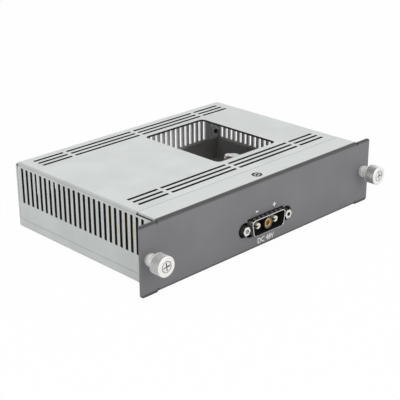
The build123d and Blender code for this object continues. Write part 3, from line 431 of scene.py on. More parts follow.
def black_plastic():
    """Black plastic, with a painted highlight in grey on the front of the connector's collar."""
    made = Finish("black_plastic", shown(20, 20, 22), 0.5)
    fine = made.noise(0.35 * MM, 2.0, 0.6)
    # Painted highlight: the front face of the collar is greyer, standing in for light on its rim.
    collar_highlight = made.axis("Y").below(corners("connector_insulator")[0].y + 0.1 * MM)
    plain = made.mix(made.noise(6 * MM, 2.0), shown(18, 18, 20), shown(26, 26, 28))
    made.give(Base_Color=made.mix(collar_highlight, plain, shown(118, 112, 106)), Roughness=0.45 + 0.10 * fine)
    return made.relief(fine, 0.02 * MM, 0.3)


def marking_ink():
    """White ink, a little thin in places."""
    ink = bpy.context.scene.supply_marking.colour
    made = Finish("marking_ink", ink, 0.55)
    thin = made.noise(0.5 * MM, 3.0, 0.7)
    made.give(Base_Color=made.mix(thin.rising(0.35, 0.75), ink, shade(ink, 0.85)))
    return made.relief(thin, 0.01 * MM, 0.3)


def film_black():
    """Insulating film, black in itself, given a light grey colour as painted light inside the box, with long
    soft waves.
    """
    # Painted light: the black film's colour is raised to light grey, standing in for light in the shaded
    # interior.
    made = Finish("film_black", shown(146, 143, 144), 0.34)
    waves = made.noise(30 * MM, 2.0)
    dust = made.noise(0.8 * MM, 3.0, 0.7)
    made.give(
        Base_Color=made.mix(waves.rising(0.35, 0.7), shown(144, 142, 142), shown(162, 160, 160)),
        Roughness=0.28 + 0.16 * dust,
    )
    return made.relief(waves, 0.5 * MM, 0.3)


def board_green():
    """Solder resist over copper tracks, with bare pads in a pattern of their own."""
    made = Finish("board_green", shown(40, 74, 38), 0.32)
    tracks = made.cells(5.5 * MM, "DISTANCE_TO_EDGE", made.stretched(1.0, 1.9, 1.0)).below(0.11)
    fine = made.cells(2.6 * MM, "DISTANCE_TO_EDGE", made.stretched(1.7, 1.0, 1.0)).below(0.06)
    pads = made.cells(3.4 * MM).below(0.13)
    green = made.mix(tracks, shown(30, 60, 32), shown(48, 92, 46))
    green = made.mix(fine, green, shown(56, 100, 52))
    made.give(
        Base_Color=made.mix(pads, green, shown(186, 188, 180)),
        Roughness=0.36 - 0.1 * tracks,
        Metallic=0.85 * pads,
    )
    return made.relief(tracks, 0.03 * MM, 0.4)


def winding_tape():
    """Yellow tape in layers, with an edge every few tenths of a millimetre."""
    made = Finish("winding_tape", shown(204, 186, 70), 0.3)
    height = made.axis("Z")
    lap = (height / (2.6 * MM) + 0.2 * made.noise(20 * MM)).maths("FRACT")
    creases = made.noise(1.6 * MM, 3.0, 0.6)
    tape = made.mix(creases, shown(196, 176, 62), shown(214, 198, 96))
    tape = made.mix(lap.below(0.06), tape, shown(130, 112, 40))
    made.give(Base_Color=tape, Roughness=0.24 + 0.14 * creases)
    return made.relief(lap, 0.06 * MM, 0.4)


def enamel_wire():
    """Dark copper wire under clear enamel."""
    made = Finish("enamel_wire", shown(84, 58, 42), 0.3, 0.5)
    spots = made.noise(3 * MM, 3.0)
    made.give(Base_Color=made.mix(spots.rising(0.3, 0.7), shown(62, 44, 36), shown(98, 68, 46)))
    return made.relief(spots, 0.02 * MM, 0.3)


def capacitor_sleeve():
    """Shrunk sleeve, dark with a pale stripe for the negative side, and a bare vented top."""
    looks = bpy.context.scene.supply_capacitor
    made = Finish("capacitor_sleeve", looks.sleeve, 0.28)
    stripe = made.attribute("stripe")
    top = made.attribute("bare_top")
    wrinkle = made.noise(1.2 * MM, 2.0, place=made.stretched(1.0, 1.0, 0.25))
    sleeve = made.mix(stripe, looks.sleeve, looks.stripe)
    made.give(
        Base_Color=made.mix(top, sleeve, shown(196, 198, 198)),
        Roughness=0.24 + 0.10 * wrinkle + 0.06 * top,
        Metallic=0.9 * top,
    )
    return made.relief(wrinkle, 0.03 * MM, 0.3)


def heatsink_black():
    """Black anodised extrusion with fine lines along its length."""
    made = Finish("heatsink_black", shown(36, 36, 38), 0.4, 0.5)
    lines = made.noise(0.3 * MM, 2.0, place=made.stretched(1.0, 0.03, 1.0))
    made.give(Base_Color=made.mix(lines, shown(28, 28, 30), shown(46, 46, 48)), Roughness=0.34 + 0.14 * lines)
    return made.relief(lines, 0.03 * MM, 0.4)


def transistor_case():
    """Black epoxy body on a tinned tab."""
    tab = corners("power_transistors")[0].x + 1.2 * MM
    made = Finish("transistor_case", shown(30, 30, 32), 0.5)
    fine = made.noise(0.3 * MM, 2.0, 0.6)
    plate = made.axis("X").below(tab)
    epoxy = made.mix(fine, shown(26, 26, 28), shown(38, 38, 40))
    made.give(
        Base_Color=made.mix(plate, epoxy, shown(188, 188, 184)),
        Roughness=0.5 - 0.2 * plate,
        Metallic=0.9 * plate,
    )
    return made.relief(fine, 0.02 * MM, 0.3)


def fuse_body():
    """Bright end caps and a milky glass tube between them."""
    low, high = corners("fuse")
    cap_length = 5 * MM
    made = Finish("fuse_body", shown(214, 216, 214), 0.2)
    reach = abs(made.axis("X") - (low.x + high.x) / 2)
    cap = reach.above((high.x - low.x) / 2 - cap_length)
    spots = made.noise(1 * MM, 2.0)
    glass = made.mix(spots, shown(206, 212, 210), shown(224, 228, 226))
    made.give(
        Base_Color=made.mix(cap, glass, shown(216, 214, 206)),
        Metallic=cap,
        Roughness=0.12 + 0.16 * cap + 0.05 * spots,
    )
    return made.relief(spots, 0.01 * MM, 0.3)


def sealing_compound():
    """White sealing compound, matt and a little uneven."""
    made = Finish("sealing_compound", shown(250, 250, 247), 0.48, Subsurface_Weight=0.1)
    made.shader.inputs["Subsurface Radius"].default_value = (1.0 * MM, 0.9 * MM, 0.7 * MM)
    lumps = made.noise(1.6 * MM, 3.0, 0.6)
    made.give(Base_Color=made.mix(lumps.rising(0.3, 0.7), shown(236, 235, 231), shown(253, 253, 250)))
    return made.relief(lumps, 0.25 * MM, 0.4)


# The colour where sunk is painted shade for recesses, notches and bores.
METALS = {  # colour, roughness, how metallic, colour where sunk, and grain
    "bright_nickel": (shown(250, 249, 247), 0.38, 0.25, shown(116, 115, 113)),
    "lock_nickel": (shown(255, 254, 250), 0.32, 0.5, shown(92, 91, 89)),
    "zinc_steel": (shown(214, 216, 214), 0.36, 0.5, shown(60, 60, 60)),
    "spring_steel": (shown(170, 170, 170), 0.3),
    # Painted reflection: the black screws take a light grey colour that stands in for reflections on them;
    # their recesses get black painted shade.
    "black_screw": (shown(222, 221, 220), 0.42, 0.2, shown(8, 8, 9)),
    "gold_contact": (shown(255, 255, 232), 0.36, 0.12, shown(40, 34, 18)),
    "brass_contact": (shown(226, 194, 130), 0.34, 0.8),
    "solder": (shown(196, 197, 196), 0.24, 1.0, None, 0.6 * MM),
}
PLASTICS = {  # colour, roughness and grain
    "ferrite": (shown(50, 50, 52), 0.6, 0.5 * MM),
    "film_block": (shown(188, 174, 84), 0.36, 0.8 * MM),
    "part_body": (shown(60, 52, 44), 0.4, 0.3 * MM),
    "choke_core_paint": (shown(64, 84, 62), 0.4, 0.5 * MM),
}
MAKERS = (
    plated_sheet, panel_paint, knurled_nickel, connector_nickel, black_plastic, marking_ink, film_black,
    board_green, winding_tape, enamel_wire, capacitor_sleeve, heatsink_black, transistor_case, fuse_body,
    sealing_compound,
)
SLOT_FINISH = {"cover_sheet": "plated_sheet"}

finishes = {}


def finish_of(name):
    """The material of that name, made the first time it is asked for."""
    if name not in finishes:
        if name in METALS:
            made = plain_metal(name, *METALS[name])
        elif name in PLASTICS:
            made = moulded(name, *PLASTICS[name])
        else:
            made = next(maker for maker in MAKERS if maker.__name__ == name)()
        finishes[name] = made.material
    return finishes[name]


# Meshes


def add_on(piece, node):
    """A finished piece rides on a node's body."""
    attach(piece, frame["nodes"][node]["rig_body"])
    return piece


def settle(piece, node):
    """A finished piece stands for a node."""
    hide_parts(node)
    return add_on(piece, node)


def as_object(name, data, finish=None):
    """A new object at the origin with that data, and with one material if a finish is named."""
    made = bpy.data.objects.new(name, data)
    bpy.context.scene.collection.objects.link(made)
    if finish:
        data.materials.clear()
        data.materials.append(finish_of(finish))
    return made


def emptied(form, mesh):
    """Write a bmesh into a mesh and free it."""
    form.to_mesh(mesh)
    form.free()
    return mesh


def closed(name, form, finish, crease=35):
    """A piece from a bmesh, with its doubles merged and its faces turned outwards."""
    bmesh.ops.remove_doubles(form, verts=form.verts, dist=0.0005 * MM)
    bmesh.ops.recalc_face_normals(form, faces=form.faces)
    mesh = emptied(form, bpy.data.meshes.new(name))
    smooth_by_angle(mesh, crease)
    return as_object(name, mesh, finish)


def baked(piece):
    """Turn what an object's modifiers make into its plain mesh, and drop the modifiers."""
    bpy.context.view_layer.update()
    depsgraph = bpy.context.evaluated_depsgraph_get()
    evaluated = piece.evaluated_get(depsgraph)
    mesh = bpy.data.meshes.new_from_object(evaluated, preserve_all_data_layers=True, depsgraph=depsgraph)
    piece.modifiers.clear()
    piece.data = mesh
    return piece


def modified(piece, kind, **settings):
    """Run one modifier on a piece and bake it."""
    added = piece.modifiers.new(kind.lower(), kind)
    for setting, value in settings.items():
        setattr(added, setting, value)
    return baked(piece)


def smooth_by_angle(mesh, degrees):
    """Shade smooth, with sharp edges where faces meet at more than that angle."""
    mesh.shade_smooth()
    mesh.set_sharp_from_angle(angle=math.radians(degrees))


def merged(node):
    """A copy of a CAD node's mesh with its doubles merged and its flat triangles joined."""
    mesh = frame["nodes"][node].data.copy()
    form = bmesh.new()
    form.from_mesh(mesh)
    bmesh.ops.remove_doubles(form, verts=form.verts, dist=0.001 * MM)
    bmesh.ops.dissolve_limit(form, angle_limit=math.radians(0.3), verts=form.verts, edges=form.edges)
    emptied(form, mesh)
    shading = mesh.attributes.get("custom_normal")
    if shading:
        mesh.attributes.remove(shading)
    return mesh


def eased(node, finish, width, segments=2, crease=40):
    """A merged copy of a CAD node with its edges rounded and its flat faces shaded flat."""
    piece = as_object(node + "_dressed", merged(node), finish)
    limits = {"limit_method": "ANGLE", "angle_limit": math.radians(35), "use_clamp_overlap": True}
    modified(piece, "BEVEL", width=width, segments=segments, **limits)
    smooth_by_angle(piece.data, crease)
    return modified(piece, "WEIGHTED_NORMAL", keep_sharp=True)


def softened(node, finish, width, segments=2, crease=40):
    """A rounded copy of a CAD node, which stands for that node."""
    return settle(eased(node, finish, width, segments, crease), node)


def turned(form, profile, place, axis="Y", segments=48):
    """Turn a profile of (radius, distance along the axis) about an axis through place, closed on itself."""
    rings = []
    for radius, along in profile:
        ring = []
        for step in range(1 if radius == 0 else segments):
            angle = math.tau * step / segments
            across, up = radius * math.cos(angle), radius * math.sin(angle)
            spot = Vector((across, along, up)) if axis == "Y" else Vector((across, up, along))
            ring.append(form.verts.new(place + spot))
        rings.append(ring)
    for first, second in zip(rings, rings[1:] + rings[:1]):
        if len(first) == 1 and len(second) == 1:
            continue
        for step in range(segments):
            after = (step + 1) % segments
            corners_of_face = [first[step % len(first)], first[after % len(first)]]
            corners_of_face += [second[after % len(second)], second[step % len(second)]]
            distinct = list(dict.fromkeys(corners_of_face))
            if len(distinct) > 2:
                form.faces.new(distinct)


def points(*pairs, start=0.0):
    """A profile given in millimetres, with its distances along the axis counted from start."""
    return [(radius * MM, start + along * MM) for radius, along in pairs]


def lathe(name, profile, finish, place=Vector(), axis="Z", segments=48, crease=35):
    """A closed piece turned from a profile."""
    form = bmesh.new()
    turned(form, profile, place, axis, segments)
    return closed(name, form, finish, crease)


def prism(form, outline, low, high, place=Vector(), axis="Z", taper=1.0):
    """A closed block with that outline of (x, y) from low to high along an axis, its far end scaled."""
    ends = []
    for level, scale in ((low, 1.0), (high, taper)):
        spots = []
        for across, up in outline:
            spot = Vector((across * scale, up * scale, level))
            if axis == "Y":
                spot = Vector((spot.x, spot.z, spot.y))
            elif axis == "X":
                spot = Vector((spot.z, spot.x, spot.y))
            spots.append(form.verts.new(place + spot))
        ends.append(spots)
    form.faces.new(ends[0])
    form.faces.new(ends[1])
    count = len(outline)
    for step in range(count):
        after = (step + 1) % count
        form.faces.new((ends[0][step], ends[0][after], ends[1][after], ends[1][step]))


def cross(reach, arm):
    """The outline of a plus sign."""
    half = arm / 2
    return [
        (half, half), (half, reach), (-half, reach), (-half, half), (-reach, half), (-reach, -half),
        (-half, -half), (-half, -reach), (half, -reach), (half, -half), (reach, -half), (reach, half),
    ]


def oblong(across, up):
    """The outline of an oblong, from its half sizes."""
    return [(-across, -up), (across, -up), (across, up), (-across, up)]


def cut(piece, form, crease=35):
    """Cut a closed bmesh out of a piece."""
    bmesh.ops.recalc_face_normals(form, faces=form.faces)
    cutter = as_object("cutter", emptied(form, bpy.data.meshes.new("cutter")))
    modified(piece, "BOOLEAN", operation="DIFFERENCE", solver="EXACT", object=cutter)
    bpy.data.objects.remove(cutter)
    smooth_by_angle(piece.data, crease)
    return piece


def mark(mesh, name, value):
    """Store a number on every face, worked out from the face."""
    stored = mesh.attributes.new(name, "FLOAT", "FACE")
    for face in mesh.polygons:
        stored.data[face.index].value = float(value(face))


def repeated(name, shape, spots, finish, turn=0.0):
    """Copies of one shape, whose own axis is +Z, at spots of (place, facing), as one piece."""
    mesh = bpy.data.meshes.new(name)
    mesh.from_pydata([place for place, facing in spots], [], [])
    facing = mesh.attributes.new("facing", "FLOAT_VECTOR", "POINT")
    for number, (place, direction) in enumerate(spots):
        facing.data[number].vector = direction
    pattern = Pattern(name)
    source = pattern.size("Shape", shape, "NodeSocketObject")
    spin = pattern.size("Turn", turn)
    space = {"transform_space": "ORIGINAL"}
    looked = pattern.node("GeometryNodeObjectInfo", space, {"Object": source}, "Geometry")
    kind = {"data_type": "FLOAT_VECTOR"}
    toward = pattern.node("GeometryNodeInputNamedAttribute", kind, {"Name": "facing"})
    spun = pattern.moved(looked, turn=pattern.node("ShaderNodeCombineXYZ", None, {"Z": spin}))
    aimed = pattern.node("FunctionNodeAlignRotationToVector", {"axis": "Z"}, {"Vector": toward})
    made = pattern.piece(name, pattern.copies(pattern.start, spun, aimed), finish, mesh)
    bpy.data.objects.remove(shape)
    return made


def islands(node):
    """The middles of the separate solids of a CAD node."""
    form = bmesh.new()
    form.from_mesh(frame["nodes"][node].data)
    bmesh.ops.remove_doubles(form, verts=form.verts, dist=0.001 * MM)
    left = set(form.verts)
    middles = []
    while left:
        seed = left.pop()
        group, queue = [seed], [seed]
        while queue:
            for edge in queue.pop().link_edges:
                for spot in edge.verts:
                    if spot in left:
                        left.remove(spot)
                        group.append(spot)
                        queue.append(spot)
        low = Vector([min(spot.co[axis] for spot in group) for axis in range(3)])
        high = Vector([max(spot.co[axis] for spot in group) for axis in range(3)])
        middles.append((low + high) / 2)
    form.free()
    return sorted(middles, key=lambda place: (round(place.x, 4), round(place.y, 4), place.z))


def paint_nodes():
    """Give every CAD node that stays the finish of its slot in the record."""
    for part in frame["record"]["subparts"]:
        node = frame["nodes"][part["node"]]
        finish = SLOT_FINISH.get(part["material_slot"], part["material_slot"])
        node.data.materials.clear()
        node.data.materials.append(finish_of(finish))


# Settings


def length(name, about, default):
    return bpy.props.FloatProperty(
        name=name, description=about, default=default, unit="LENGTH", subtype="DISTANCE",
    )


def share(name, about, default):
    return bpy.props.FloatProperty(name=name, description=about, default=default, subtype="FACTOR")


def count(name, about, default):
    return bpy.props.IntProperty(name=name, description=about, default=default)


def tint(name, about, default):
    return bpy.props.FloatVectorProperty(
        name=name, description=about, default=default, subtype="COLOR", size=4, min=0, max=1,
    )


# Cover, tray and front panel


class SheetSettings(bpy.types.PropertyGroup):
    """Sizes and colours of the cover and the tray"""

    colour: tint("Colour", "Colour of the plated sheet outside", shown(212, 216, 214))
    # Painted light: a lighter colour for the inner side, standing in for light inside the box.
    inner_colour: tint("Inner Colour", "Colour of the sheet's inner side", shown(222, 223, 222))
    # Painted shade: dark colour for the walls of the slots.
    cut_colour: tint("Cut Colour", "Colour of the walls of the slots", shown(52, 52, 52))
    roughness: share("Roughness", "Roughness of the plated sheet", 0.42)
    metallic: share("Metallic", "How metallic the plated sheet looks", 0.25)
    rounding: length("Edge Rounding", "Radius of the cut edges", 0.08 * MM)
    # Painted shade along the left fold.
    fold_band: length("Fold Band", "Width of the greyer band along the left fold", 1.5 * MM)
    fold_shade: share("Fold Shade", "Strength of the greyer band", 0.3)
    bend: length("Bend", "Outer radius of the folds", 1.8 * MM)


class SheetPieces(bpy.types.Operator):
    """Make the slotted cover and the chassis tray"""

    bl_idname = "supply.sheet_pieces"
    bl_label = "Cover and Tray"

    def execute(self, context):
        looks = context.scene.supply_sheet
        for node in ("top_cover", "chassis_tray"):
            piece = softened(node, "plated_sheet", looks.rounding)
            mark_sheet(piece.data, node, looks.bend)
        return {"FINISHED"}


def mark_sheet(mesh, node, bend):
    """Store where each face of a sheet piece is: 0 outer side, 1 inner side, 2 cut wall with painted shade and
    3 cut wall with painted light.
    """
    low, high = corners(node)

    def side(face):
        centre = face.center
        across = min(high.x - centre.x, centre.x - low.x, high.y - centre.y)
        up = min(BOX_TOP - centre.z, centre.z)
        if across < bend and up < bend:
            depth = bend - math.hypot(bend - across, bend - up)
        else:
            depth = min(across, up)
        if depth < 0.1 * MM:
            return 0
        if depth > 1.05 * MM:
            return 1
        # Painted light on the cut walls of the right and rear walls, painted shade on the others.
        painted_light_wall = depth > across - 0.01 * MM and (centre.x > 0 or high.y - centre.y < SHEET)
        return 3 if painted_light_wall else 2

    mark(mesh, "sheet_side", side)


class PanelSettings(bpy.types.PropertyGroup):
    """Sizes and colours of the front panel"""

    colour: tint("Colour", "Colour of the powder coat", shown(122, 121, 124))
    roughness: share("Roughness", "Roughness of the powder coat", 0.5)
    paint_edge: length("Paint Edge", "How far behind the face the paint ends", 1.7 * MM)
    # Painted shade round the folds.
    bend_band: length("Bend Band", "Height of the darker band at the folds", 2.2 * MM)
    bend_shade: share("Bend Shade", "Brightness of the paint round the folds", 0.3)
    rounding: length("Edge Rounding", "Radius of the cut edges", 0.12 * MM)


class PanelPiece(bpy.types.Operator):
    """Make the front panel with its two flanges"""

    bl_idname = "supply.panel_piece"
    bl_label = "Front Panel"

    def execute(self, context):
        def inner(face):
            level = face.center.z
            return min(BOX_TOP - level, level) > 0.3 * MM and face.center.y > FRONT_Y + 0.9 * SHEET

        piece = softened("front_panel", "panel_paint", context.scene.supply_panel.rounding)
        mark(piece.data, "sheet_side", inner)
        return {"FINISHED"}


class MarkingSettings(bpy.types.PropertyGroup):
    """Sizes of the plain markings round the connector"""

    colour: tint("Colour", "Colour of the ink", shown(255, 255, 255))
    text_height: length("Text Height", "Height of the letters", 3.1 * MM)
    sign_height: length("Sign Size", "Height of the plus sign", 2.5 * MM)


class MarkingPieces(bpy.types.Operator):
    """Print the polarity signs and the voltage on the front panel"""

    bl_idname = "supply.marking_pieces"
    bl_label = "Markings"

    plus_place = (6.84 * MM, 0, 21.85 * MM)
    minus_place = (-7.0 * MM, 0, 21.6 * MM)
    words_place = (0.3 * MM, FRONT_Y + 0.015 * MM, 2.5 * MM)
    words_width = 13.0 * MM

    def execute(self, context):
        looks = context.scene.supply_marking
        half = looks.sign_height / 2
        bar = 0.33 * MM
        form = bmesh.new()
        proud = FRONT_Y - 0.02 * MM
        sunk = FRONT_Y + 0.05 * MM
        prism(form, cross(half, 2 * bar), proud, sunk, Vector(self.plus_place), axis="Y")
        prism(form, oblong(0.7 * half, 1.3 * bar), proud, sunk, Vector(self.minus_place), axis="Y")
        add_on(closed("polarity_signs", form, "marking_ink"), "front_panel")
        words = bpy.data.curves.new("voltage_words", "FONT")
        words.body = "DC 48V"
        words.size = looks.text_height * 1.38
        words.align_x = "CENTER"
        words.extrude = 0.035 * MM
        words.offset = 0.012 * words.size
        words.resolution_u = 3
        carrier = as_object("voltage_words", words)
        context.view_layer.update()
        mesh = bpy.data.meshes.new_from_object(carrier.evaluated_get(context.evaluated_depsgraph_get()))
        bpy.data.objects.remove(carrier)
        across = [spot.co.x for spot in mesh.vertices]
        wide = Matrix.Diagonal((self.words_width / (max(across) - min(across)), 1, 1, 1))
        upright = Matrix.Rotation(math.pi / 2, 4, "X")
        mesh.transform(Matrix.Translation(self.words_place) @ upright @ wide)
        form = bmesh.new()
        form.from_mesh(mesh)
        add_on(closed("voltage_words", form, "marking_ink"), "front_panel")
        return {"FINISHED"}


# Thumbscrews


class KnobSettings(bpy.types.PropertyGroup):
    """Sizes of the captive thumbscrews"""

    ridges: count("Ridges", "Ridges of the knurl round the knob", 64)
    ridge_depth: length("Ridge Depth", "Depth of the knurl", 0.2 * MM)
    ridge_colour: tint("Ridge Colour", "Colour of the ridges of the knurl", shown(232, 232, 230))
    # Painted shade in the valleys of the knurl.
    valley_colour: tint("Valley Colour", "Colour between the ridges", shown(116, 117, 116))
    bevel: length("Bevel", "Bevel round a knob's rear edge", 0.95 * MM)
    recess_reach: length("Recess Reach", "Half the width of the cross recess", 2.45 * MM)
    recess_arm: length("Recess Arm", "Width of an arm of the cross recess", 0.75 * MM)
    recess_turn: count("Recess Turn", "Degrees that the cross recess is turned", 8)


class ThumbscrewPieces(bpy.types.Operator):
    """Make the knurled knobs, their screws, rings and ferrules"""

    bl_idname = "supply.thumbscrew_pieces"
    bl_label = "Thumbscrews"

    def execute(self, context):
        looks = context.scene.supply_knob
        for side in SIDES:
            self.knob("thumbscrew_knob_" + side, looks)
            self.screw("thumbscrew_screw_" + side, looks)
            self.ferrule("thumbscrew_ferrule_" + side)
            softened("thumbscrew_ring_" + side, "zinc_steel", 0.06 * MM)
        return {"FINISHED"}

    def measures(self, node):
        """A node's own axis at the origin's depth, its radius, and where it starts and ends."""
        low, high = corners(node)
        return Vector((middle(node).x, 0, middle(node).z)), (high.x - low.x) / 2, low.y, high.y

    def knob(self, node, looks):
        centre, radius, front, rear = self.measures(node)
        seat = 3.14 * MM
        bore = 1.78 * MM
        hollow = 3.7 * MM
        band = (front + 0.55 * MM, rear - looks.bevel - 0.15 * MM)
        steps = [(radius, band[1] + (band[0] - band[1]) * step / 6) for step in range(7)]
        edge = 0.05 * MM
        steps.insert(1, (radius, band[1] - edge))
        steps.insert(-1, (radius, band[0] + edge))
        profile = [
            (bore, front + 1.6 * MM), (hollow, front + 1.6 * MM), (hollow, rear),
            (radius - looks.bevel, rear), (radius, rear - looks.bevel), *steps, (radius, front + 0.45 * MM),
            (radius - 0.45 * MM, front), (seat + 0.12 * MM, front), (seat, front + 0.12 * MM),
            (seat, front + 1.0 * MM), (bore, front + 1.0 * MM),
        ]
        piece = lathe(node + "_blank", profile, "knurled_nickel", centre, "Y", 4 * looks.ridges, 50)
        pattern = Pattern("knob_knurl")
        ridges = pattern.size("Ridges", float(looks.ridges))
        depth = pattern.size("Ridge Depth", looks.ridge_depth)
        position = pattern.node("GeometryNodeInputPosition")
        from_axis = pattern.node("ShaderNodeVectorMath", {"operation": "SUBTRACT"}, {0: position, 1: centre})
        across, along, up = (
            pattern.node("ShaderNodeSeparateXYZ", None, {0: from_axis}, axis) for axis in "XYZ"
        )
        wave = (up.maths("ARCTAN2", across) * (ridges / math.pi)).maths("PINGPONG", 1.0)
        reach = (across * across + up * up).maths("SQRT")
        knurl = reach.above(radius - 0.02 * MM) * along.above(band[0] + edge / 2)
        knurl = knurl * along.below(band[1] - edge / 2)
        valley = wave * knurl
        flat = {0: from_axis, 1: (1, 0, 1)}
        outward = pattern.node("ShaderNodeVectorMath", {"operation": "MULTIPLY"}, flat)
        offset = pattern.scaled(outward, depth / -radius * valley)
        stored = pattern.start
        for name, value in (("valley", valley), ("knurl", knurl)):
            stored = pattern.node(
                "GeometryNodeStoreNamedAttribute", {"data_type": "FLOAT", "domain": "POINT"},
                {"Geometry": stored, "Name": name, "Value": value},
            )
        cut_in = pattern.node("GeometryNodeSetPosition", None, {"Geometry": stored, "Offset": offset})
        settle(pattern.piece(node + "_dressed", cut_in, "knurled_nickel", piece.data), node)
        bpy.data.objects.remove(piece)

    def screw(self, node, looks):
        centre, _, head, tip = self.measures(node)
        shank = 1.75 * MM
        thread = 0.16 * MM
        pitch = 0.7 * MM
        along = head + 7.0 * MM
        profile = points((0, 0.04), (2.46, 0.02), (2.7, 0.12), (2.78, 0.3), (2.78, 0.88), start=head)
        profile += [(shank, head + 0.88 * MM), (shank, along)]
        while along < tip - 0.6 * MM - pitch:
            crest = along + pitch / 2
            profile += [(shank - thread, along + 0.1 * MM), (shank, crest), (shank, crest + 0.1 * MM)]
            along += pitch
        profile += [(shank - thread, tip - 0.55 * MM), (shank - 0.6 * MM, tip), (0, tip)]
        piece = lathe(node + "_dressed", profile, "bright_nickel", centre, "Y")
        turn = math.radians(looks.recess_turn)
        cosine, sine = math.cos(turn), math.sin(turn)
        outline = cross(looks.recess_reach, looks.recess_arm)
        outline = [(x * cosine - y * sine, x * sine + y * cosine) for x, y in outline]
        cutter = bmesh.new()
        prism(cutter, outline, head - 0.1 * MM, head + 0.6 * MM, centre, axis="Y", taper=0.62)
        cut(piece, cutter)
        # Painted shade in the cross recess.
        mark(piece.data, "sunk", lambda face: head + 0.16 * MM < face.center.y < head + 0.84 * MM)
        settle(piece, node)

    def ferrule(self, node):
        centre, radius, front, rear = self.measures(node)
        bore = 2.62 * MM
        mouth = 1.95 * MM
        shank = 3.08 * MM
        outer = [
            (mouth, front), (radius - 0.25 * MM, front), (radius - 0.05 * MM, front + 0.2 * MM),
            (radius - 0.05 * MM, FRONT_Y - 2.75 * MM), (radius - 0.35 * MM, FRONT_Y - 2.55 * MM),
            (radius - 0.35 * MM, FRONT_Y - 2.2 * MM), (radius - 0.02 * MM, FRONT_Y - 1.95 * MM),
            (radius, FRONT_Y - 0.2 * MM), (radius - 0.12 * MM, FRONT_Y), (shank, FRONT_Y), (shank, rear),
            (mouth, rear), (mouth, rear - 0.8 * MM), (bore, rear - 0.8 * MM), (bore, front + 0.8 * MM),
            (mouth, front + 0.8 * MM),
        ]
        settle(lathe(node + "_dressed", outer, "bright_nickel", centre, "Y", 64), node)


class SpringSettings(bpy.types.PropertyGroup):
    """Sizes of the springs inside the thumbscrews"""

    turns: bpy.props.FloatProperty(name="Turns", description="Turns of each spring", default=5.0)
    wire: length("Wire", "Radius of the spring wire", 0.2 * MM)
    press: share("Press", "Share of its length that a pressed spring keeps", 0.43)


class SpringPieces(bpy.types.Operator):
    """Make the springs inside the thumbscrews"""

    bl_idname = "supply.spring_pieces"
    bl_label = "Springs"

    def execute(self, context):
        looks = context.scene.supply_spring
        for side in SIDES:
            node = "thumbscrew_spring_" + side
            low, high = corners(node)
            centre = middle(node)
            pattern = Pattern("spring_" + side)
            turns = pattern.size("Turns", looks.turns)
            wire = pattern.size("Wire", looks.wire)
            reach = pattern.size("Radius", (high.x - low.x) / 2 - looks.wire)
            coil = pattern.node("GeometryNodeCurveSpiral", None, {
                "Resolution": 28, "Rotations": turns, "Start Radius": reach, "End Radius": reach,
                "Height": high.y - low.y - 2 * looks.wire,
            })
            start = (centre.x, low.y + looks.wire, centre.z)
            lying = pattern.moved(pattern.wire(coil, wire), start, (-math.pi / 2, 0, 0))
            piece = settle(pattern.piece(node + "_dressed", lying, "spring_steel"), node)
            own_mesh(piece)
        return {"FINISHED"}


# Power connector


class ConnectorSettings(bpy.types.PropertyGroup):
    """Sizes of the power connector's details"""

    tip_rounding: length("Tip Rounding", "Radius round the tips of the pins", 0.8 * MM)
    rim_rounding: length("Rim Rounding", "Radius of the shell's rim", 0.16 * MM)
    # The rim band stays free of painted shade; the end shade is painted shade on the short ends.
    rim_band: length("Rim Band", "Depth of the bright band round the rim", 0.5 * MM)
    end_shade: share("End Shade", "How dull the short ends of the shell are", 0.7)
    shell_height: length("Shell Height", "Height of the D-shaped shell", 9.7 * MM)
    notch: length("Notch", "Half the width of the notch in the tips of the pins", 0.12 * MM)
    dimples: count("Dimples", "Dimples along each long side of the shell", 7)
    dimple_pitch: length("Dimple Pitch", "Distance between dimples", 3.4 * MM)


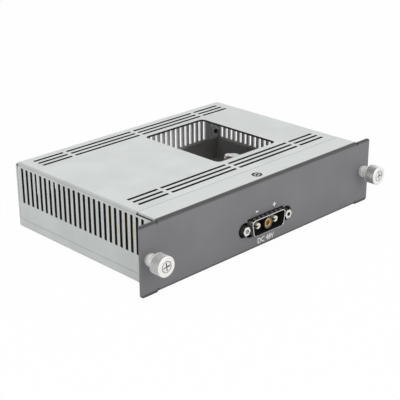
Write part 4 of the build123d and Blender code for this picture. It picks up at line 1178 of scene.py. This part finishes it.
class ConnectorPieces(bpy.types.Operator):
    """Make the connector's shell, insulator, contacts and screwlocks"""

    bl_idname = "supply.connector_pieces"
    bl_label = "Power Connector"

    def execute(self, context):
        looks = context.scene.supply_connector
        shell = softened("connector_shell", "connector_nickel", looks.rim_rounding, 3)
        self.mark_walls(shell.data, looks)
        self.dimples(looks)
        softened("connector_insulator", "black_plastic", 0.12 * MM)
        for node in ("contact_negative", "contact_positive"):
            settle(self.slit(node, looks), node)
        softened("contact_middle", "brass_contact", 0.25 * MM, 3, 60)
        locks = softened("screwlocks", "lock_nickel", 0.12 * MM)
        # Painted shade on every face of the screwlocks that does not face forward.
        mark(locks.data, "sunk", lambda face: face.normal.y > -0.5)
        self.threads()
        softened("connector_brackets", "zinc_steel", 0.1 * MM)
        softened("screwlock_nuts", "zinc_steel", 0.12 * MM)
        return {"FINISHED"}

    def mark_walls(self, mesh, looks):
        """Store how much painted shade darkens each face: 0 on the rim, less outside on the short ends, and 1
        inside.
        """
        front = corners("connector_shell")[0].y
        centre = middle("screwlocks")

        def dull(face):
            reach = face.center - centre
            on_rim = face.center.y < front + looks.rim_band and face.normal.y < -0.3
            if on_rim and reach.z > 0.8 * MM - looks.shell_height / 2:
                return 0
            inward = face.normal.x * reach.x + face.normal.z * reach.z < 0
            return 1 if inward or abs(face.normal.z) > 0.7 else looks.end_shade

        mark(mesh, "wall_painted_shade", dull)

    def slit(self, node, looks):
        """A pin whose tip has a notch that widens to the left."""
        low, high = corners(node)
        radius = (high.x - low.x) / 2
        centre = Vector((low.x + radius, 0, high.z - radius))
        piece = eased(node, "gold_contact", looks.tip_rounding, 4, 60)
        slope = 0.32
        ends = [(x, looks.notch + slope * (0.35 * MM - x)) for x in (0.35 * MM, -2 * radius)]
        outline = ends + [(x, -half) for x, half in reversed(ends)]
        cutter = bmesh.new()
        prism(cutter, outline, low.y - 0.5 * MM, low.y + 3.0 * MM, centre, axis="Y")
        cut(piece, cutter, 60)

        # Painted shade inside the notch of the pin.
        def sunk(face):
            reach = face.center - centre
            within = reach.x < 0.36 * MM and abs(reach.z) < looks.notch + slope * (0.4 * MM - reach.x)
            front = face.normal.y < -0.5 and face.center.y < low.y + 1.5 * MM
            return within and not front and face.center.y < low.y + 3.1 * MM

        mark(piece.data, "sunk", sunk)
        return piece

    def dimples(self, looks):
        """Grounding dimples on the top and the bottom of the shell."""
        level = middle("screwlocks").z
        half = looks.shell_height / 2
        profile = points((0.95, -0.08), (0.85, 0.3), (0.5, 0.5), (0, 0.56), (0, -0.08))
        shape = lathe("dimple", profile, "connector_nickel", segments=16)
        # Painted shade on the dimples.
        mark(shape.data, "wall_painted_shade", lambda face: 0.9)
        spots = []
        for number in range(looks.dimples):
            x = (number - (looks.dimples - 1) / 2) * looks.dimple_pitch
            spots.append(((x, FRONT_Y - 1.2 * MM, level + half), (0, 0, 1)))
            spots.append(((x * 0.9, FRONT_Y - 1.2 * MM, level - half), (0, 0, -1)))
        add_on(repeated("shell_dimples", shape, spots, "connector_nickel"), "connector_shell")

    def threads(self):
        """Thread ridges inside the screwlocks."""
        low, high = corners("screwlocks")
        form = bmesh.new()
        bore = 1.2 * MM
        reach = (high.z - low.z) / 2
        for x in (low.x + reach, high.x - reach):
            for ring in range(5):
                along = low.y + 0.5 * MM + ring * 0.45 * MM
                root = bore + 0.05 * MM
                profile = [(root, along), (bore - 0.16 * MM, along + 0.15 * MM), (root, along + 0.3 * MM)]
                turned(form, profile, Vector((x, 0, low.z + reach)), segments=24)
        add_on(closed("screwlock_threads", form, "black_screw"), "screwlocks")


# Screws


class ScrewSettings(bpy.types.PropertyGroup):
    """Sizes of the screws and press nuts"""

    head: length("Head", "Radius of a screw's head", 2.7 * MM)
    recess: length("Recess", "Half the width of a screw's cross recess", 1.7 * MM)
    recess_arm: length("Recess Arm", "Width of an arm of a screw's cross recess", 0.85 * MM)


class ScrewPieces(bpy.types.Operator):
    """Make the screws and the press nuts"""

    bl_idname = "supply.screw_pieces"
    bl_label = "Screws"

    def execute(self, context):
        looks = context.scene.supply_screw
        flange = middle("flange_screws")
        places = [((flange.x, flange.y, BOX_TOP), (0, 0, 1)), ((flange.x, flange.y, 0.0), (0, 0, -1))]
        shape = self.countersunk(looks)
        settle(repeated("flange_screws_dressed", shape, places, "black_screw", 0.5), "flange_screws")
        rear = corners("top_cover")[1].y
        for node, finish in (("rear_corner_screws", "black_screw"), ("rear_connector_screws", "zinc_steel")):
            low, high = corners(node)
            level = (low.z + high.z) / 2
            places = [((x, rear, level), (0, 1, 0)) for x in (low.x + looks.head, high.x - looks.head)]
            shape = self.pan(looks, rear - low.y)
            settle(repeated(node + "_dressed", shape, places, finish, 0.4), node)
        board = corners("circuit_board")[1].z
        low = corners("board_screws")[0].z
        places = [((place.x, place.y, board), (0, 0, 1)) for place in islands("board_screws")]
        shape = self.pan(looks, board - low)
        settle(repeated("board_screws_dressed", shape, places, "zinc_steel", 0.3), "board_screws")
        low, high = corners("transistor_screws")
        head_height = 1.7 * MM
        face = high.x - head_height
        places = [((face, place.y, place.z), (1, 0, 0)) for place in islands("transistor_screws")]
        shape = self.pan(looks, face - low.x)
        settle(repeated("transistor_screws_dressed", shape, places, "zinc_steel", 0.8), "transistor_screws")
        softened("press_nuts", "zinc_steel", 0.12 * MM)
        return {"FINISHED"}

    def recess(self, piece, looks, top):
        cutter = bmesh.new()
        prism(cutter, cross(looks.recess, looks.recess_arm), top + 0.1 * MM, top - 0.95 * MM, taper=0.5)
        cut(piece, cutter)
        # Painted shade in the cross recess.
        mark(piece.data, "sunk", lambda face: face.center.z < top - 0.1 * MM)
        return piece

    def shank(self, length):
        """Half a profile: a threaded shank down from the underside of a head."""
        radius = 1.48 * MM
        profile = [(radius, 0.0)]
        along = 0.5 * MM
        while along < length - 0.7 * MM:
            profile += [(radius, -along), (radius - 0.13 * MM, -along - 0.25 * MM)]
            along += 0.5 * MM
        return profile + [(radius, -length + 0.3 * MM), (radius - 0.3 * MM, -length), (0, -length)]

    def pan(self, looks, length):
        top = 1.68 * MM
        reach = looks.head - 0.02 * MM
        head = [
            (0, top), (0.5 * reach, top), (0.78 * reach, top - 0.12 * MM), (0.94 * reach, top - 0.5 * MM),
            (reach, top - 1.0 * MM), (reach, 0.06 * MM), (reach - 0.06 * MM, 0.0),
        ]
        screw = lathe("pan_screw", head + self.shank(length), "zinc_steel", segments=32)
        return self.recess(screw, looks, top)

    def countersunk(self, looks):
        head = points((0, -0.03), (1.76, -0.03), (1.84, -0.36), (2.42, -0.38), (1.48, -1.3))
        shank = [(radius, along - 1.3 * MM) for radius, along in self.shank(3.9 * MM)]
        screw = lathe("countersunk_screw", head + shank, "black_screw", segments=40)
        return self.recess(screw, looks, 0.0)


# Chokes and their sealing compound


class ChokeSettings(bpy.types.PropertyGroup):
    """Sizes of the chokes' windings"""

    wire: length("Wire", "Radius of the winding wire", 0.62 * MM)
    turns: count("Turns", "Turns round each core", 38)


class ChokePieces(bpy.types.Operator):
    """Make the ring cores and the turns of wire round them"""

    bl_idname = "supply.choke_pieces"
    bl_label = "Chokes"

    def execute(self, context):
        looks = context.scene.supply_choke
        softened("choke_cores", "choke_core_paint", 0.5 * MM, 3)
        form = bmesh.new()
        for number, centre in enumerate(islands("choke_cores")):
            ring = self.winding(looks, centre, number)
            form.from_mesh(ring.data)
            bpy.data.objects.remove(ring)
        mesh = emptied(form, bpy.data.meshes.new("choke_windings_dressed"))
        smooth_by_angle(mesh, 60)
        settle(as_object("choke_windings_dressed", mesh, "enamel_wire"), "choke_windings")
        return {"FINISHED"}

    def winding(self, looks, centre, number):
        """Rounded loops of wire that stand round the core."""
        low, high = corners("choke_windings")
        board = corners("circuit_board")[1].z
        if centre.x > 0:
            height, radius = high.z - board, high.x - centre.x
        else:
            height, radius = 12.0 * MM, centre.x - low.x
        hole = 3.6 * MM
        pattern = Pattern("choke_winding")
        wire = pattern.size("Wire", looks.wire)
        turns = pattern.size("Turns", looks.turns, "NodeSocketInt")
        sizes = {"Width": radius - hole - 2 * looks.wire, "Height": height - 2 * looks.wire}
        loop = pattern.node("GeometryNodeCurvePrimitiveQuadrilateral", {"mode": "RECTANGLE"}, sizes)
        sizes = {"Curve": loop, "Radius": 1.0 * MM, "Count": 3}
        soft = pattern.node("GeometryNodeFilletCurve", {"mode": "POLY"}, sizes)
        standing = pattern.moved(pattern.wire(soft, wire, 6), turn=(math.pi / 2, 0, 0))
        sizes = {"Vertices": turns, "Radius": (radius + hole) / 2}
        circle = pattern.node("GeometryNodeMeshCircle", {"fill_type": "NONE"}, sizes)
        angle = pattern.node("GeometryNodeInputIndex") * math.tau / turns
        facing = pattern.node("ShaderNodeCombineXYZ", None, {"Z": angle})
        loops = pattern.copies(circle, standing, facing)
        placed = pattern.moved(loops, (centre.x, centre.y, board + height / 2))
        return pattern.piece("winding_%d" % number, placed, "enamel_wire")


class SealingPiece(bpy.types.Operator):
    """Make the lump of sealing compound over the front choke"""

    bl_idname = "supply.sealing_piece"
    bl_label = "Sealing Compound"

    def execute(self, context):
        piece = as_object("sealing_lump_blank", merged("sealing_lump"), "sealing_compound")
        modified(piece, "REMESH", mode="VOXEL", voxel_size=0.3 * MM)
        pattern = Pattern("sealing_blobs")
        height = pattern.size("Blob Height", 2.4 * MM)
        grain = pattern.size("Blob Size", 1.8 * MM)
        noise = pattern.node("ShaderNodeTexNoise", None, {"Scale": 1.0 / grain, "Detail": 2.5})
        offset = pattern.scaled(pattern.node("GeometryNodeInputNormal"), (noise - 0.7) * height)
        moved = pattern.node("GeometryNodeSetPosition", None, {"Geometry": pattern.start, "Offset": offset})
        done = pattern.piece("sealing_lump_dressed", moved, "sealing_compound", piece.data)
        bpy.data.objects.remove(piece)
        smooth_by_angle(done.data, 80)
        settle(done, "sealing_lump")
        return {"FINISHED"}


# Capacitors


class CapacitorSettings(bpy.types.PropertyGroup):
    """Colours of the capacitors"""

    sleeve: tint("Sleeve", "Colour of the sleeves", shown(26, 27, 34))
    stripe: tint("Stripe", "Colour of the stripe down the sleeves", shown(150, 152, 158))
    vent: length("Vent", "Width of the grooves in the tops", 0.35 * MM)


class CapacitorPieces(bpy.types.Operator):
    """Make the round capacitors and the film capacitors"""

    bl_idname = "supply.capacitor_pieces"
    bl_label = "Capacitors"

    def execute(self, context):
        looks = context.scene.supply_capacitor
        board = corners("circuit_board")[1].z
        for node, radius in (("bulk_capacitors", 8.5 * MM), ("small_capacitors", 4.0 * MM)):
            high = corners(node)[1].z
            form = bmesh.new()
            cutter = bmesh.new()
            for place in islands(node):
                centre = Vector((place.x, place.y, 0))
                turned(form, self.can(board, high, radius), centre, axis="Z")
                vent = cross(0.62 * radius, looks.vent)
                prism(cutter, vent, high + 0.1 * MM, high - 0.35 * MM, centre, taper=0.97)
            piece = cut(closed(node + "_dressed", form, "capacitor_sleeve"), cutter, 30)
            self.mark_cans(piece.data, islands(node), radius, high)
            settle(piece, node)
        softened("film_capacitors", "film_block", 0.5 * MM, 3)
        return {"FINISHED"}

    def can(self, low, high, radius):
        """The profile of a rolled can in its sleeve, whose edge is turned in over the top."""
        corner = 0.09 * radius
        foot = ((0.3, 0.0), (0.02, 0.3), (0.02, 1.0), (0.35, 1.6), (0.4, 2.0), (0.35, 2.4), (0.02, 3.0))
        return [
            (0, low), *((radius - inset * MM, low + up * MM) for inset, up in foot),
            (radius - 0.02 * MM, high - 1.2 * corner), (radius - 0.3 * corner, high - 0.35 * corner),
            (radius - corner, high), (0.86 * radius, high), (0.84 * radius, high - 0.16 * MM),
            (0, high - 0.12 * MM),
        ]

    def mark_cans(self, mesh, places, radius, high):
        """Store the stripe and the bare top on the faces."""
        def reach_of(face):
            return (face.center - min(places, key=lambda place: (place - face.center).xy.length)).xy

        def on_stripe(face):
            reach = reach_of(face)
            stripe_angle, half_angle = 2.4, 0.42
            turned_away = abs(math.atan2(reach.y, reach.x) - stripe_angle)
            return turned_away < half_angle and reach.length > 0.9 * radius

        def on_top(face):
            return reach_of(face).length < 0.85 * radius and face.center.z > high - 1.0 * MM

        mark(mesh, "stripe", on_stripe)
        mark(mesh, "bare_top", on_top)


# Transformer, heatsink and fuse


class TransformerPieces(bpy.types.Operator):
    """Make the transformer's core, winding and bobbin"""

    bl_idname = "supply.transformer_pieces"
    bl_label = "Transformer"

    def execute(self, context):
        softened("transformer_core", "ferrite", 0.4 * MM, 3)
        softened("transformer_winding", "winding_tape", 0.35 * MM, 3)
        softened("transformer_bobbin", "black_plastic", 0.15 * MM)
        low, high = corners("transformer_bobbin")
        board = corners("circuit_board")[1].z
        profile = points((0, 1.2), (0.42, 1.1), (0.5, 0.6), (1.05, 0), (0, 0))
        shape = lathe("pin_joint", profile, "solder", segments=12)
        spots = []
        for number in range(5):
            x = low.x + (high.x - low.x) * (number + 0.5) / 5
            spots += [((x, y, board), (0, 0, 1)) for y in (low.y - 1.0 * MM, high.y + 1.0 * MM)]
        add_on(repeated("bobbin_pins", shape, spots, "solder"), "transformer_bobbin")
        return {"FINISHED"}


class HeatsinkPieces(bpy.types.Operator):
    """Make the heatsink and its transistors"""

    bl_idname = "supply.heatsink_pieces"
    bl_label = "Heatsink"

    def execute(self, context):
        softened("heatsink", "heatsink_black", 0.15 * MM)
        softened("power_transistors", "transistor_case", 0.14 * MM)
        return {"FINISHED"}


class FusePieces(bpy.types.Operator):
    """Make the fuse and its clips"""

    bl_idname = "supply.fuse_pieces"
    bl_label = "Fuse"

    def execute(self, context):
        softened("fuse", "fuse_body", 0.25 * MM, 3)
        softened("fuse_clips", "zinc_steel", 0.1 * MM)
        return {"FINISHED"}


# Circuit board and film


class BoardSettings(bpy.types.PropertyGroup):
    """Sizes of the small parts on the board"""

    pairs: count("Pairs", "Pairs of small parts along the front edge", 22)
    joint: length("Joint", "Radius of a solder joint", 0.9 * MM)


class BoardPieces(bpy.types.Operator):
    """Make the circuit board, its standoffs, the control board and the small parts"""

    bl_idname = "supply.board_pieces"
    bl_label = "Circuit Board"

    def execute(self, context):
        looks = context.scene.supply_board
        softened("circuit_board", "board_green", 0.1 * MM)
        softened("board_standoffs", "zinc_steel", 0.12 * MM)
        softened("control_board", "board_green", 0.08 * MM)
        softened("control_header", "black_plastic", 0.12 * MM)
        self.chips(looks)
        self.control_parts()
        return {"FINISHED"}

    def chips(self, looks):
        """Rows of small parts along the front of the board."""
        low, high = corners("circuit_board")
        form = bmesh.new()
        prism(form, oblong(1.6 * MM, 0.8 * MM), 0.0, 1.1 * MM, taper=0.92)
        shape = closed("small_part", form, "part_body")
        spots = []
        pitch = 6.1 * MM
        connector_half, screw_at, screw_half = 24 * MM, 69 * MM, 5 * MM
        for number in range(looks.pairs):
            start = low.x + 10 * MM + number * pitch
            if abs(start) < connector_half:
                continue
            for row in range(2):
                x = start + row * 1.7 * MM
                if abs(x + screw_at) > screw_half and abs(x - screw_at) > screw_half:
                    spots.append(((x, low.y + (8.0 + 4.2 * row) * MM, high.z), (0, 0, 1)))
        add_on(repeated("small_parts", shape, spots, "part_body"), "circuit_board")
        profile = points((0, 0.9), (0.25, 0.85))
        profile += [(0.4 * looks.joint, 0.45 * MM), (looks.joint, 0.0), (0, 0.0)]
        shape = lathe("joint", profile, "solder", segments=12)
        ends = [((x + end, y, z), facing) for (x, y, z), facing in spots for end in (-2.3 * MM, 2.3 * MM)]
        add_on(repeated("solder_joints", shape, ends, "solder"), "circuit_board")

    def control_parts(self):
        """A chip with its feet on the upright board."""
        face = corners("control_board")[1].x
        centre = middle("control_board")
        form = bmesh.new()
        place = Vector((0, centre.y, centre.z + 2 * MM))
        prism(form, oblong(2.5 * MM, 2.0 * MM), face, face + 1.4 * MM, place, axis="X")
        for row in range(4):
            for side in (-1, 1):
                spot = Vector((0, centre.y + (row - 1.5) * 1.27 * MM, centre.z + 2 * MM + side * 2.6 * MM))
                prism(form, oblong(0.2 * MM, 0.5 * MM), face, face + 0.5 * MM, spot, axis="X")
        add_on(closed("control_chip", form, "part_body"), "control_board")


class FilmPiece(bpy.types.Operator):
    """Make the insulating film under the board"""

    bl_idname = "supply.film_piece"
    bl_label = "Insulating Film"

    def execute(self, context):
        softened("insulating_film", "film_black", 0.1 * MM)
        return {"FINISHED"}


class RearConnectorPieces(bpy.types.Operator):
    """Make the rear connector, its blades and pins, and the earth stud"""

    bl_idname = "supply.rear_connector_pieces"
    bl_label = "Rear Connector"

    def execute(self, context):
        softened("rear_connector", "black_plastic", 0.2 * MM, 3)
        softened("rear_blades", "gold_contact", 0.2 * MM)
        softened("rear_signal_pins", "gold_contact", 0.08 * MM)
        softened("earth_stud", "zinc_steel", 0.12 * MM)
        return {"FINISHED"}


# Stage


class StageSettings(bpy.types.PropertyGroup):
    """Light, floor and camera"""

    sky: bpy.props.FloatProperty(name="Sky", description="Strength of the even light", default=0.49)
    key_power: bpy.props.FloatProperty(
        name="Key Lamp", description="Power of the large lamp overhead", default=3.8, unit="POWER",
    )
    fill_power: bpy.props.FloatProperty(
        name="Fill Lamp", description="Power of the lamp beside the camera", default=2.9, unit="POWER",
    )
    floor_colour: tint("Floor", "Colour of the floor", (0.9, 0.9, 0.9, 1.0))
    lens: bpy.props.FloatProperty(
        name="Lens", description="Focal length on a 36 mm sensor", default=94.63, subtype="DISTANCE_CAMERA",
    )


WHITE = (1, 1, 1, 1)
CAMERA_PLACE = Vector((-389.56, -403.99, 242.57)) * MM
CAMERA_RIGHT = Vector((0.71196179, -0.70219527, -0.00567522))
CAMERA_UP = Vector((0.2731972, 0.26953375, 0.92342561))
CAMERA_BACK = Vector((-0.64689543, -0.6589942, 0.38373551))


class StagePieces(bpy.types.Operator):
    """Make the floor, the light and the camera"""

    bl_idname = "supply.stage_pieces"
    bl_label = "Stage"

    def execute(self, context):
        scene = context.scene
        looks = scene.supply_stage
        self.camera(scene, looks)
        self.sky(scene, looks)
        self.floor(looks)
        self.lamp("key_lamp", looks.key_power, 0.9, Vector((-0.31, 0.1, 0.94)))
        self.lamp("fill_lamp", looks.fill_power, 0.7, Vector((0.05, -0.95, 0.45)))
        scene.view_settings.view_transform = "Standard"
        return {"FINISHED"}

    def camera(self, scene, looks):
        data = bpy.data.cameras.new("camera")
        data.lens = looks.lens
        data.sensor_width = 36
        data.clip_start = 0.01
        data.clip_end = 20
        turn = Matrix((CAMERA_RIGHT, CAMERA_UP, CAMERA_BACK)).transposed()
        scene.camera = as_object("camera", data)
        scene.camera.matrix_world = Matrix.Translation(CAMERA_PLACE) @ turn.to_4x4()

    def sky(self, scene, looks):
        """Even light that looks white to the camera and in reflections."""
        world = bpy.data.worlds.new("sky")
        world.use_nodes = True
        world.node_tree.nodes.clear()
        made = Tree(world.node_tree)
        even = made.node("ShaderNodeBackground", None, {"Color": WHITE, "Strength": looks.sky})
        white = made.node("ShaderNodeBackground", None, {"Color": WHITE})
        camera, glossy, through = (
            made.node("ShaderNodeLightPath", output="Is %s Ray" % kind)
            for kind in ("Camera", "Glossy", "Transmission")
        )
        seen = camera.maths("MAXIMUM", glossy).maths("MAXIMUM", through)
        blend = made.node("ShaderNodeMixShader", None, {0: seen, 1: even, 2: white})
        made.node("ShaderNodeOutputWorld", None, {"Surface": blend})
        scene.world = world

    def floor(self, looks):
        mesh = bpy.data.meshes.new("floor")
        reach = 6.0
        level = -0.02 * MM
        camera_share = 0.97
        mesh.from_pydata([(x, y, level) for x, y in oblong(reach, reach)], [], [(0, 1, 2, 3)])
        made = Finish("floor_white", looks.floor_colour, 0.9)
        seen = made.node("ShaderNodeLightPath", output="Is Camera Ray")
        glow = made.node("ShaderNodeEmission", None, {"Color": WHITE, "Strength": 1.0})
        blend = made.node("ShaderNodeMixShader", None, {0: seen * camera_share, 1: made.shaded(), 2: glow})
        made.feed(made.nodes.nodes["Material Output"].inputs["Surface"], blend)
        mesh.materials.append(made.material)
        as_object("floor", mesh)

    def lamp(self, name, power, size, place):
        data = bpy.data.lights.new(name, "AREA")
        data.shape = "DISK"
        data.size = size
        data.energy = power
        lamp = as_object(name, data)
        lamp.location = place
        lamp.rotation_mode = "QUATERNION"
        lamp.rotation_quaternion = place.to_track_quat("Z", "Y")


class SupplyPanel(bpy.types.Panel):
    """Lists the operators that build the looks"""

    bl_idname = "VIEW3D_PT_supply"
    bl_label = "Power Supply Looks"
    bl_space_type = "VIEW_3D"
    bl_region_type = "UI"
    bl_category = "Power Supply"

    def draw(self, context):
        for step in STEPS:
            self.layout.operator(step.bl_idname)


SETTINGS = {
    "supply_sheet": SheetSettings,
    "supply_panel": PanelSettings,
    "supply_marking": MarkingSettings,
    "supply_knob": KnobSettings,
    "supply_spring": SpringSettings,
    "supply_connector": ConnectorSettings,
    "supply_screw": ScrewSettings,
    "supply_choke": ChokeSettings,
    "supply_capacitor": CapacitorSettings,
    "supply_board": BoardSettings,
    "supply_stage": StageSettings,
}
STEPS = (
    SheetPieces, PanelPiece, MarkingPieces, ThumbscrewPieces, SpringPieces, ConnectorPieces, ScrewPieces,
    ChokePieces, SealingPiece, CapacitorPieces, TransformerPieces, HeatsinkPieces, FusePieces, BoardPieces,
    FilmPiece, RearConnectorPieces, StagePieces,
)


def register():
    for settings in SETTINGS.values():
        bpy.utils.register_class(settings)
    for name, settings in SETTINGS.items():
        setattr(bpy.types.Scene, name, bpy.props.PointerProperty(type=settings))
    for step in STEPS:
        bpy.utils.register_class(step)
    bpy.utils.register_class(SupplyPanel)


def unregister():
    bpy.utils.unregister_class(SupplyPanel)
    for step in reversed(STEPS):
        bpy.utils.unregister_class(step)
    for name, settings in SETTINGS.items():
        delattr(bpy.types.Scene, name)
        bpy.utils.unregister_class(settings)


def run_step(step):
    """Call an operator by its identifier."""
    group, name = step.bl_idname.split(".")
    getattr(getattr(bpy.ops, group), name)()


def main():
    """Register the add-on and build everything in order."""
    register()
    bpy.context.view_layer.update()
    paint_nodes()
    for step in STEPS:
        run_step(step)


if __name__ == "__main__":
    main()
